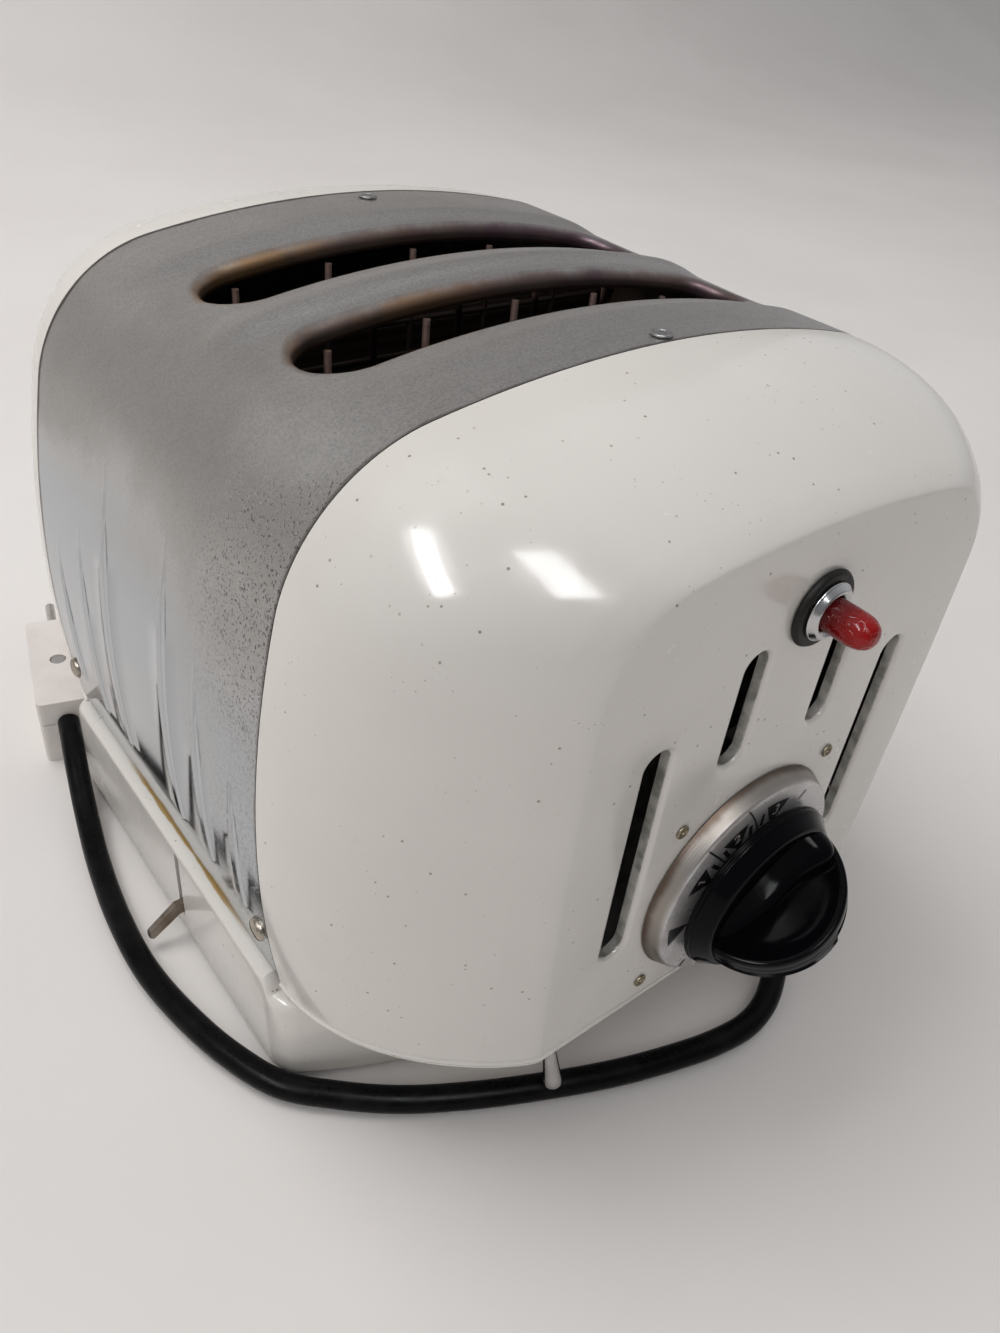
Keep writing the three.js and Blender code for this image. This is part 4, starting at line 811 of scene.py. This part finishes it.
def wrap():
    stations = wrap_stations()
    ys = {0}
    for y in (WRAP_HALF, 75.4, 71, SLOT_FIELD_Y, 49, 31.5, 10):
        ys.update((-y, y))
    across = np.array([-1, -0.93, -0.86, -0.79, -0.72, -0.64, -0.5, -0.25, 0]) * FLUTE_HALF
    for middle, _ in FLUTES:
        ys.update(middle + offset for offset in (*across, *-across[-2::-1]))
    ys = sorted(ys)
    points, faces, heat_tint_and_shade, flute_flank_light = [], [], [], []
    for x, z, nx, nz, fluted in stations:
        for y in ys:
            rise, flank = flute_rise(y, z) if fluted else (0, 0)
            points.append((x + nx * rise, y, z + nz * rise))
            heat_tint_and_shade.append(0.0)
            flute_flank_light.append(flank)
    count = len(ys)
    inside_x = [i for i, s in enumerate(stations) if abs(s[0]) <= SLOT_FIELD_X + 1e-6 and not s[4]]
    i0, i1 = inside_x[0], inside_x[-1]
    ends = [ys.index(y) for y in (-SLOT_FIELD_Y, 0, SLOT_FIELD_Y)]
    fields = [(ends[0], ends[1], -SLOT_Y), (ends[1], ends[2], SLOT_Y)]
    for i in range(len(stations) - 1):
        for j in range(count - 1):
            if not (i0 <= i < i1 and ends[0] <= j < ends[2]):
                faces.append([i * count + j, i * count + j + 1, (i + 1) * count + j + 1, (i + 1) * count + j])
    spine = SLOT_HALF - SLOT_RADIUS
    for j0, j1, centre in fields:
        loop = [(i, j0) for i in range(i0, i1)] + [(i1, j) for j in range(j0, j1)]
        loop += [(i, j1) for i in range(i1, i0, -1)] + [(i0, j) for j in range(j1, j0, -1)]
        previous = [i * count + j for i, j in loop]
        base = np.array([points[k][:2] for k in previous])
        foot = np.stack([np.clip(base[:, 0], -spine, spine), np.full(len(base), centre)], 1)
        away = base - foot
        away /= np.linalg.norm(away, axis=1)[:, None]
        edge = foot + away * (SLOT_RADIUS + SLOT_ROLL)
        # Rings from the field's edge down the dish, round the lip and into the slot
        rings = []
        for t in np.linspace(0, 1, 8)[1:]:
            rings.append((base + (edge - base) * t, SLOT_DROP * ease(t), 0.75 * t ** 3))
        for a in np.linspace(0, pi / 2, 7)[1:]:
            flat = foot + away * (SLOT_RADIUS + SLOT_ROLL * (1 - sin(a)))
            rings.append((flat, SLOT_DROP + SLOT_ROLL * (1 - cos(a)), 0.75 + 0.25 * sin(a)))
        # Values above one mark the slot walls, which carry painted shade
        rings += [(flat, SLOT_DROP + SLOT_ROLL + deeper, value) for deeper, value in ((0.8, 1.2), (2.4, 2.0))]
        for flat, depth, value in rings:
            now = range(len(points), len(points) + len(flat))
            points.extend((x, y, top_height(x) - depth) for x, y in flat)
            heat_tint_and_shade.extend([value] * len(flat))
            for k, m in enumerate([*range(1, len(now)), 0]):
                faces.append([previous[k], previous[m], now[m], now[k]])
            previous = now
    # The flute flank value carries the flutes' painted highlight and painted shade
    flute_flank_light += [0.0] * (len(points) - len(flute_flank_light))
    return (points, faces), {"heat_tint_and_shade": heat_tint_and_shade, "flute_flank_light": flute_flank_light}


wrap_part, wrap_marks = wrap()
piece("wrap_shell", wrap_part, "worn_chrome", ["body_wrap"], thick=SHEET, marks=wrap_marks, rim="seam_dirt")


# Base skirt with its two curbs, lever slot and tray door

SKIRT_X, SKIRT_BOW, SKIRT_APEX, SKIRT_CORNER = 122.5, 232, 118, 12
BOW_CENTRE = SKIRT_BOW - SKIRT_APEX
CORNER_X = SKIRT_X - SKIRT_CORNER
CORNER_Y = sqrt((SKIRT_BOW - SKIRT_CORNER) ** 2 - CORNER_X ** 2) - BOW_CENTRE
DECK_Z, CURB_Z = 37, 42.9
LIFT_NOTCH_X = -101.2
DECK_HOLE = ((-90, -58), (90, -58), (90, 58), (-90, 58))


def skirt_wall(x):
    return BOW_CENTRE - sqrt(SKIRT_BOW ** 2 - x ** 2)


def skirt_path():
    """Places round the skirt's foot, each with its normal."""
    meet = atan2(CORNER_Y + BOW_CENTRE, CORNER_X)
    turns = [(CORNER_X, CORNER_Y, SKIRT_CORNER, a) for a in np.linspace(0, meet, 12)]
    turns += [(0, -BOW_CENTRE, SKIRT_BOW, a) for a in np.linspace(meet, pi / 2, 16)[1:]]
    quarter = [(x + r * cos(a), y + r * sin(a), cos(a), sin(a)) for x, y, r, a in turns]
    stops = (-74.5, -73, -58.5, -40, -18, -14.7, -11.3, -8, 0, 20, 40, 58.5, 73, 74.5)
    right = [(SKIRT_X, y, 1, 0) for y in stops]
    back = quarter + [(-x, y, -nx, ny) for x, y, nx, ny in quarter[-2::-1]]
    left = [(-x, y, -nx, ny) for x, y, nx, ny in right[::-1]]
    return np.array(right + back + left + [(-x, -y, -nx, -ny) for x, y, nx, ny in back])


def skirt():
    rows = []
    for x, y, nx, ny in skirt_path():
        curb = ease(min(1, max(0, (78.5 - abs(y)) / 4))) if abs(x) > SKIRT_X - 3 else 0
        top = DECK_Z + (CURB_Z - DECK_Z) * curb
        profile = [(1.5, 3), (0.5, 3)] + [(0, z) for z in (3.6, 5.2, 10.5, 17, 30, top - 4.4, top - 3)]
        for a in np.linspace(0, pi / 2, 6)[1:]:
            profile.append((3 - 3 * cos(a), top - 3 + 3 * sin(a)))
        profile += [(6.2, top), (6.8, top - 0.3 * curb), (7, top - curb), (7, top - 3 * curb)]
        profile += [(7.6, DECK_Z + 0.2 * curb), (8, DECK_Z)]
        rows.append([(x - nx * inset, y - ny * inset, z) for inset, z in profile])
    rows = np.array(rows)
    count, across = rows.shape[:2]
    faces = []
    for i in range(count):
        j = (i + 1) % count
        x, y = rows[i, 4, 0], (rows[i, 4, 1] + rows[j, 4, 1]) / 2
        left, right = x < 1 - SKIRT_X, x > SKIRT_X - 1
        for k in range(across - 1):
            slot = left and -14.7 < y < -11.3 and 4 <= k < 7
            door = right and abs(y) < 58.5 and 3 <= k < 5
            notch = left and -18 < y < -8 and k >= 16
            if not (slot or door or notch):
                faces.append([i * across + k, j * across + k, j * across + k + 1, i * across + k + 1])
    points = [tuple(p) for p in rows.reshape(-1, 3)]
    loop = []
    for i in range(count):
        x, y = rows[i, -1, :2]
        if x > 0 or not -17 < y < -9:
            loop.append((i * across + across - 1, (x, y)))
        if x < 0 and abs(y + 8) < 0.01:
            for corner in ((LIFT_NOTCH_X, -8), (LIFT_NOTCH_X, -18)):
                loop.append((len(points), corner))
                points.append((*corner, DECK_Z))
    hole = [(len(points) + k, corner) for k, corner in enumerate(DECK_HOLE)]
    points.extend((*corner, DECK_Z) for corner in DECK_HOLE)
    return points, faces + fill([loop, hole])


piece("skirt_shell", skirt(), "skirt_enamel", ["base_skirt"], slot="cream_enamel", thick=1.5)
FOOT = [
    (0, 0.6), (2.6, 0.6, 0.3), (3.2, 0, 0.3), (7.7, 0, 1), (9, 1.9, 1), (9, 3.7, 0.3), (2.2, 3.7), (2.2, 9.2),
    (0, 9.2),
]
CORNERS = [("front_left", -1, -1), ("rear_left", -1, 1), ("front_right", 1, -1), ("rear_right", 1, 1)]
for name, sx, sy in CORNERS:
    turned(f"foot_{name}_pad", f"foot_{name}", "black_rubber", FOOT, (98 * sx, 72 * sy, 0), UP)


# Fasteners

SCREW_Z = 61.6
SIDE_SCREW = [(0, -6), (2, -6), (2, 0.3), (3.9, 0.3, 0.25), (3.6, 1.4, 0.9), (2.2, 2.1, 1.2), (0, 2.3)]
TOP_RIVET = [
    (0, -5), (1.5, -5), (1.5, 0.3), (3.2, 0.3, 0.2), (3.1, 0.95, 0.4), (1.9, 1.15, 0.3), (1.6, 0.75, 0.2),
    (0, 0.7),
]
EYELET = [
    (0, -3.3), (1.5, -3.3), (1.5, 0.3), (2.2, 0.3, 0.2), (2.1, 0.8, 0.3), (1.5, 1.1, 0.3), (0.9, 0.5, 0.2),
    (0.8, 0.1), (0, 0.1),
]
screw_x = centres(BODY)[0][0] + sqrt(BODY.side ** 2 - (SCREW_Z - BODY.wide_height) ** 2)
for name, sx, sy in CORNERS:
    place, node = (sx * screw_x, sy * 72, SCREW_Z), f"side_screw_{name}"
    screw = turned(node + "_head", node, "screw_metal", SIDE_SCREW, place, (sx, 0, 0), 40,
                   slot="bright_chrome")
    turn = 0.5 if sy < 0 else 1.1
    c, s = cos(turn), sin(turn)
    near, far = sorted((1.3 * sx, 4 * sx))
    points, faces = block((near, -6, -0.45), (far, 6, 0.45))
    carve(screw, (place + np.array(points) @ ((1, 0, 0), (0, c, s), (0, -s, c)), faces))
for name, y in (("front", -73.5), ("rear", 69.6)):
    place, node = (0, y, BODY.height), f"top_rivet_{name}"
    turned(node + "_head", node, "rivet_metal", TOP_RIVET, place, UP, 40, slot="bright_chrome")
for index, (x, z) in enumerate(((-31, 48), (31, 48), (-31, 112), (31, 112))):
    node = f"dial_rivet_{index + 1}"
    turned(node + "_eyelet", node, "old_brass", EYELET, (x, FRONT_FACE, z), FORWARD, 32)


# Dial plate with its printed marks; angles are in degrees from twelve o'clock

DIAL_FACE, DIAL_EDGE, DIAL_RADIUS = 5.7, 34.8, 37.2
DIAL_MIDDLE = np.array([0, FRONT_FACE, DIAL_Z])
INK, NUMERAL_INK = 0.07, 0.13


def dial_point(radius, angle, proud):
    a = radians(angle)
    bevel = max(0, (radius - DIAL_EDGE) / (DIAL_RADIUS - DIAL_EDGE))
    out = DIAL_FACE + (0.3 - DIAL_FACE) * bevel + proud
    return DIAL_MIDDLE + np.array([radius * sin(a), -out, radius * cos(a)])


def dial_mark(corners):
    """A flat printed mark whose corners are given as radius and angle, as a thin slab on the plate."""
    n = len(corners)
    faces = [list(range(n)), *([i, (i + 1) % n, n + (i + 1) % n, n + i] for i in range(n))]
    return [dial_point(*corner, proud) for proud in (INK, 0) for corner in corners], faces


def dial_line(radius0, angle0, radius1, angle1, width):
    rows = []
    for t in np.linspace(0, 1, 7):
        radius, angle = radius0 + (radius1 - radius0) * t, angle0 + (angle1 - angle0) * t
        half = degrees(width / 2 / radius)
        rows.append([dial_point(radius, angle + turn, INK) for turn in (-half, half)])
    return grid(rows)


def digit(strokes, radius, angle, size):
    """Strokes of a numeral as flat ribbons; the numeral's top points out of the dial."""
    a = radians(angle)
    up, right = np.array([sin(a), 0, cos(a)]), np.array([cos(a), 0, -sin(a)])
    middle = DIAL_MIDDLE + radius * up + (DIAL_FACE + NUMERAL_INK) * np.array(FORWARD)
    parts = []
    for stroke in strokes:
        line = np.array(stroke) * size
        steps = np.gradient(line, axis=0)
        side = np.stack([-steps[:, 1], steps[:, 0]], 1) / np.linalg.norm(steps, axis=1)[:, None] * 0.09 * size
        rows = zip(line - side, line + side)
        parts.append(grid([[middle + x * right + y * up for x, y in pair] for pair in rows]))
    return merge(*parts)


def arc(x, y, radius, start, end):
    angles = np.radians(np.linspace(start, end, 12))
    return [(x + radius * cos(a), y + radius * sin(a)) for a in angles]


ONE = [[(-0.22, 0.28), (0.04, 0.5), (0.04, 0.0), (0.04, -0.5)]]
TWO = [
    arc(0, 0.22, 0.27, 160, -35) + [(0.0, -0.2), (-0.28, -0.45)], [(-0.32, -0.45), (0, -0.45), (0.34, -0.45)],
]
THREE = [arc(0, 0.24, 0.25, 150, -80), arc(0, -0.23, 0.28, 80, -150)]
DIAL = [(6, 4.5), (33.6, 4.5), (36, 0.3), (37.2, 0.3, 0.3), (34.8, 5.7, 1.1), (6, 5.7), (6, 4.5)]

turned("dial_face", "dial_plate", "polished_dial", DIAL, DIAL_MIDDLE, FORWARD, 96)
marks = []
for radius, angle, length, half in (
    (28.9, -102, 5, 4.2), (25.6, -62, 5.4, 4.9), (25.6, -27.5, 5.4, 4.9), (26.6, 6.5, 5.4, 4.9),
):
    outer = radius + length * 0.62
    wide = degrees(half / outer)
    far = [(outer, angle + wide * t) for t in np.linspace(-1, 1, 6)]
    marks.append(dial_mark([*far, (radius - length, angle)]))
for line in (
    (21.7, -49.5, 26.7, -49.5, 1.3), (21.7, -38.2, 26.7, -38.2, 1.3), (21.9, -15.5, 26.9, -15.5, 1.3),
    (23.1, -5, 28.1, -5, 1.3), (19, -43.2, 34.6, -43.6, 0.6), (20.5, -6.5, 34.6, -17.5, 0.6),
    (29, 29, 32.2, 30.5, 0.8), (31.2, -142, 33.9, -142, 1.2),
):
    marks.append(dial_line(*line))
numerals = [digit(*numeral, 3.4) for numeral in ((ONE, 26.1, -62), (TWO, 26.2, -27.5), (THREE, 27.2, 6.5))]
piece("dial_marks", merge(*marks), "print_black", slot="polished_dial", angle=60)
piece("dial_numerals", merge(*numerals), "print_white", slot="polished_dial", angle=60)


# Timer knob: a dished round foot, a shoulder that rises towards the high end, and a half-round blade

KNOB_FOOT, RIM_TOP = DIAL_FACE + 0.6, 10.8
KNOB_TURN = radians(60)
KNOB_AXES = np.array([
    (sin(KNOB_TURN), 0, cos(KNOB_TURN)), (-cos(KNOB_TURN), 0, sin(KNOB_TURN)), FORWARD,
])
KNOB_BASE = [
    (0, KNOB_FOOT), (17, KNOB_FOOT, 0.4), (17, 8.3, 0.4), (28.5, 8.3, 0.5), (28.8, 9.3, 0.3), (28.3, 9.8, 0.3),
    (28.5, 10.6, 0.5), (27.6, 11.6, 0.6), (25.2, 14.9, 0.8), (23.6, 15.3, 1.0), (20.5, 13.6, 3), (14, 12.2, 4),
    (6, 12), (0, 12),
]
BLADE_FLANK = [
    (0, 3.1), (12, 3.1), (17, 3.2), (20, 3.5), (22, 4.1), (23.3, 4.6), (24.2, 4.7), (24.6, 4.45), (24.9, 3.9),
]
BLADE_EDGE = [(24.9, 1.6), (24.9, 0.6), (24.7, -1.0), (24.1, -2.6), (23.1, -3.6)]
# Place along the grip, height out of the facet, and half width of the shoulder
SHOULDER = np.array([
    (-24.5, 11.4, 1.5), (-22, 13.2, 3.4), (-18, 15.2, 4.8), (-13, 17.0, 5.8), (-8, 18.2, 6.4), (-2, 19.0, 7.0),
    (4, 19.0, 7.6), (9, 19.4, 8.6), (13, 20.6, 9.8), (17, 22.0, 10.8), (20.5, 21.8, 11.0), (23, 20.0, 9.8),
    (24.6, 15.5, 7.0),
])


def knob_place(along, across, out):
    """A point by its distance along the grip, across it towards ten o'clock, and out of the facet."""
    return DIAL_MIDDLE + np.array([along, across, out]) @ KNOB_AXES


def knob_blade():
    profile = BLADE_FLANK + BLADE_EDGE + [(r, -w) for r, w in BLADE_FLANK[-2::-1]]
    rows = []
    for a in np.linspace(-0.02, pi + 0.02, 73):
        step = 0.7 / (1 + exp(-(degrees(a) - 79) * 3))
        row = []
        for radius, w in profile:
            if w < 0.5 and radius > 23.5:
                radius += step
            s = radius * cos(a)
            row.append(knob_place(s if s > 0 else s * 0.95, w, RIM_TOP + radius * sin(a)))
        rows.append(row)
    return grid(rows)


def knob_shoulder():
    s_at, high, wide = SHOULDER.T
    rows = []
    for s in np.linspace(s_at[0], s_at[-1], 60):
        top, half = np.interp(s, s_at, high), np.interp(s, s_at, wide)
        row = []
        for t in np.linspace(-1, 1, 41):
            lift = (1 - abs(t) ** 5) ** 0.5
            row.append(knob_place(s, t * half * (1 + 0.35 * (1 - lift) ** 2), 9 + (top - 9) * lift))
        rows.append(row)
    rows = np.array(rows)
    for _ in range(3):
        rows[1:-1] = (rows[:-2] + 2 * rows[1:-1] + rows[2:]) / 4
    points, faces = grid(rows)
    return points, [*faces, list(range(41)), [59 * 41 + k for k in range(41)][::-1]]


knob = merge(lathe(KNOB_BASE, DIAL_MIDDLE, FORWARD, 96, 5), knob_blade(), knob_shoulder())
piece("knob_grip", knob, "black_bakelite", ["timer_knob"], body="knob", angle=50)


# Indicator lamp

WASHER = [(6.3, 0.3), (10.6, 0.3, 0.3), (11, 1.0, 0.4), (10.2, 2.3, 0.7), (8, 2.3), (6.3, 2.3), (6.3, 0.3)]
BEZEL = [
    (5.05, -5.8), (6, -5.8), (6, 2.6), (8.2, 2.6, 0.3), (8.2, 3.1, 0.2), (7.9, 3.3, 0.2), (6.9, 4.8, 0.3),
    (6.2, 5.0, 0.3), (5.6, 4.6, 0.3), (5.05, 4.2), (5.05, -5.8),
]
LENS = [
    (0, -5.2), (4.75, -5.2), (4.75, 6), (4.7, 11.6, 1.5), (4.4, 13.9, 1.2), (3.1, 16.2, 1.2), (1.3, 17, 0.8),
    (0, 17),
]
lamp_place = (0, FRONT_FACE, LAMP_Z)
turned("lamp_gasket", "lamp_washer", "black_rubber", WASHER, lamp_place, FORWARD, 64)
turned("lamp_ring", "lamp_bezel", "bright_chrome", BEZEL, lamp_place, FORWARD, 64)
turned("lamp_jewel", "lamp_lens", "red_lens", LENS, lamp_place, FORWARD, 48, 6)


# Toggle switch

SWITCH, TOGGLE_TILT = (-57.5, -131.5), radians(19)
BUSH = [(3.9, 29.1)]
for i in range(9):
    BUSH += [(5.9, 29.2 + i * 0.9), (5.5, 29.65 + i * 0.9)]
BUSH += [(6, 37.4), (6, 39.3), (3.9, 39.3), (3.9, 29.1)]
BAT = [
    (0, -3.5), (2.45, -2.45, 1), (3.5, 0, 1.5), (1.9, 2.8, 1), (2.0, 6), (2.7, 16), (3.1, 20.2, 1),
    (2.7, 21.9, 0.8), (1.2, 22.5, 0.6), (0, 22.5),
]
bat_axis = (0, -sin(TOGGLE_TILT), -cos(TOGGLE_TILT))
turned("switch_thread", "switch_bush", "bright_chrome", BUSH, (*SWITCH, 0), UP, angle=20)
turned("switch_lever", "switch_bat", "toggle_chrome", BAT, (*SWITCH, 33.6), bat_axis, 40, 5, body="toggle",
       slot="bright_chrome")


# The mains lead's gland

GLAND = [
    (0, -14), (5.2, -14, 0.6), (6.2, -5.4), (8.5, -5.4, 0.4), (8.5, -3.4), (6.2, -3.4), (6.2, 2.2),
    (8.5, 2.2, 0.4), (8.5, 4.2, 0.8),
]
for i in range(4):
    wide, narrow, out = 6.1 - i * 0.22, 5.4 - i * 0.15, i * 1.5
    GLAND += [(wide, out + 4.4), (wide, out + 5.2), (narrow, out + 5.4), (narrow, out + 5.8)]
GLAND += [(5.2, 10.3, 0.4), (4.3, 10.5), (4.3, 9), (0, 9)]
turned("cord_grommet", "cord_gland", "black_rubber", GLAND, (50, skirt_wall(50), 16), FORWARD, 40)


# Inside: the guards' wires and the elements' wound ribbons

GUARD_REACH = BODY.crown - 9.3


def guard(y):
    parts = [tube([(x, y, z) for x in np.linspace(-95.2, 95.2, 9)], 1.1) for z in (62, 186)]
    for x in (-64, -32, 0, 32, 64):
        top = BODY.height - BODY.crown + sqrt(GUARD_REACH ** 2 - (abs(x) + 1.1) ** 2)
        parts.append(tube([(x, y, z) for z in np.linspace(62, top, 9)], 1.1))
    return merge(*parts)


def ribbon(y):
    levels = [54 + i * 4.9 for i in range(27)]
    return merge(*(
        block((-91.5, y + near, z - 0.9), (91.5, y + far, z + 0.9))
        for z in levels for near, far in ((-1.3, -1.02), (1.02, 1.3))
    ))


for name, y in (("front_outer", -41.0), ("front_inner", -13.8), ("rear_inner", 13.8), ("rear_outer", 41.0)):
    piece(f"guard_{name}_wires", guard(y), "rusted_wire", [f"guard_{name}"])
for name, y in (("front", -47), ("centre", 0), ("rear", 47)):
    piece(f"element_{name}_ribbon", ribbon(y), "ribbon", slot="heat_darkened_steel")

# Nodes that show as they are: their look, their names, and the width and segments of their rounded edges
for look, nodes, *bevel in (
    ("plain_steel", "bottom_plate"), ("plain_steel", "timer_housing lift_carriage crumb_tray", 0.4),
    ("cream_enamel", "control_floor"), ("bright_chrome", "timer_shaft lift_guide_rod"),
    ("bright_chrome", "lamp_nut plug_screw", 0.3), ("bright_chrome", "switch_nut", 0.35),
    ("black_bakelite", "switch_body terminal_block", 0.6), ("white_plastic", "plug_body plug_cover", 1.4, 4),
    ("pin_nickel", "plug_pin_low plug_pin_middle plug_pin_high", 0.4), ("lever_steel", "lift_lever", 0.6, 3),
    ("mica", "element_front element_centre element_rear"),
    ("heat_darkened_steel", "rack_front rack_rear", 0.5),
    ("heat_darkened_steel", "left_end_plate right_end_plate front_baffle rear_baffle", 0.3),
):
    for node in nodes.split():
        dress(node, look, *bevel)


# Floor, world and lamps

FLOOR_END, COVE, WALL_TOP = 1.2, 0.9, 3.2
WARM, SOFT, COOL = (1.0, 0.985, 0.97), (1.0, 0.99, 0.975), (0.97, 0.985, 1.0)


def make_stage():
    look = Look("floor", (0.83, 0.8, 0.775), Roughness=0.85)
    look.paint(look.noise(3, 4).ramp(0.3, 0.7), (0.795, 0.76, 0.735))
    look.feed("Base Color", look.colour)
    sweep = [(-3.5, 0), (FLOOR_END, 0)]
    for a in np.linspace(0.1, pi / 2, 12):
        sweep.append((FLOOR_END + COVE * sin(a), COVE - COVE * cos(a)))
    sweep.append((FLOOR_END + COVE, WALL_TOP))
    points, faces = grid([[(x, y, z) for y, z in sweep] for x in (-3.5, 3.5)])
    mesh = bpy.data.meshes.new("floor")
    mesh.from_pydata(points.tolist(), [], faces)
    mesh.shade_smooth()
    mesh.materials.append(look.material)
    add("floor", mesh)


def make_world():
    """A room that is brighter towards the back."""
    world = bpy.context.scene.world = bpy.data.worlds.new("studio")
    tree = Tree(world, "Background")
    depth = tree.wire("SeparateXYZ", "Y", {0: tree.wire("TexCoord", "Generated")})
    tree.feed("Strength", depth.ramp(-0.95, -0.05, 0.16, 0.5))
    tree.feed("Color", (0.95, 0.965, 1.0))


def window(name, top, bottom, width, power, tone, glint=False):
    """A rectangular lamp facing the toaster, which either lights it softly or is only mirrored in it."""
    top, bottom = Vector(top), Vector(bottom)
    middle, up = (top + bottom) / 2, (top - bottom).normalized()
    away = middle - Vector((0, 0, 0.12))
    away = (away - up * away.dot(up)).normalized()
    data = bpy.data.lights.new(name, "AREA")
    data.shape = "RECTANGLE"
    data.size, data.size_y = width, (top - bottom).length
    data.energy, data.color = power, tone
    lamp = add(name, data)
    lamp.matrix_world = Matrix.Translation(middle) @ Matrix((up.cross(away), up, away)).transposed().to_4x4()
    lamp.visible_glossy, lamp.visible_diffuse = glint, not glint


make_stage()
make_world()
window("overhead", (-0.5, 1.3, 1.9), (-0.5, 0.2, 1.9), 1.3, 19, SOFT)
window("front_left", (-1.2, -0.2, 1.6), (-1.2, -1.2, 1.1), 1.0, 5, WARM)
window("right", (1.1, 0.5, 1.7), (1.1, -0.5, 1.3), 0.9, 2.2, (1.0, 0.99, 0.98))
window("glint_left", (-0.915, 0.265, 1.528), (-1.361, -0.513, 1.068), 0.2, 9, COOL, glint=True)
window("glint_right", (-0.41, -0.5, 1.7), (-0.52, -1.15, 1.26), 0.36, 9, COOL, glint=True)

bpy.context.scene.view_settings.view_transform = "Standard"
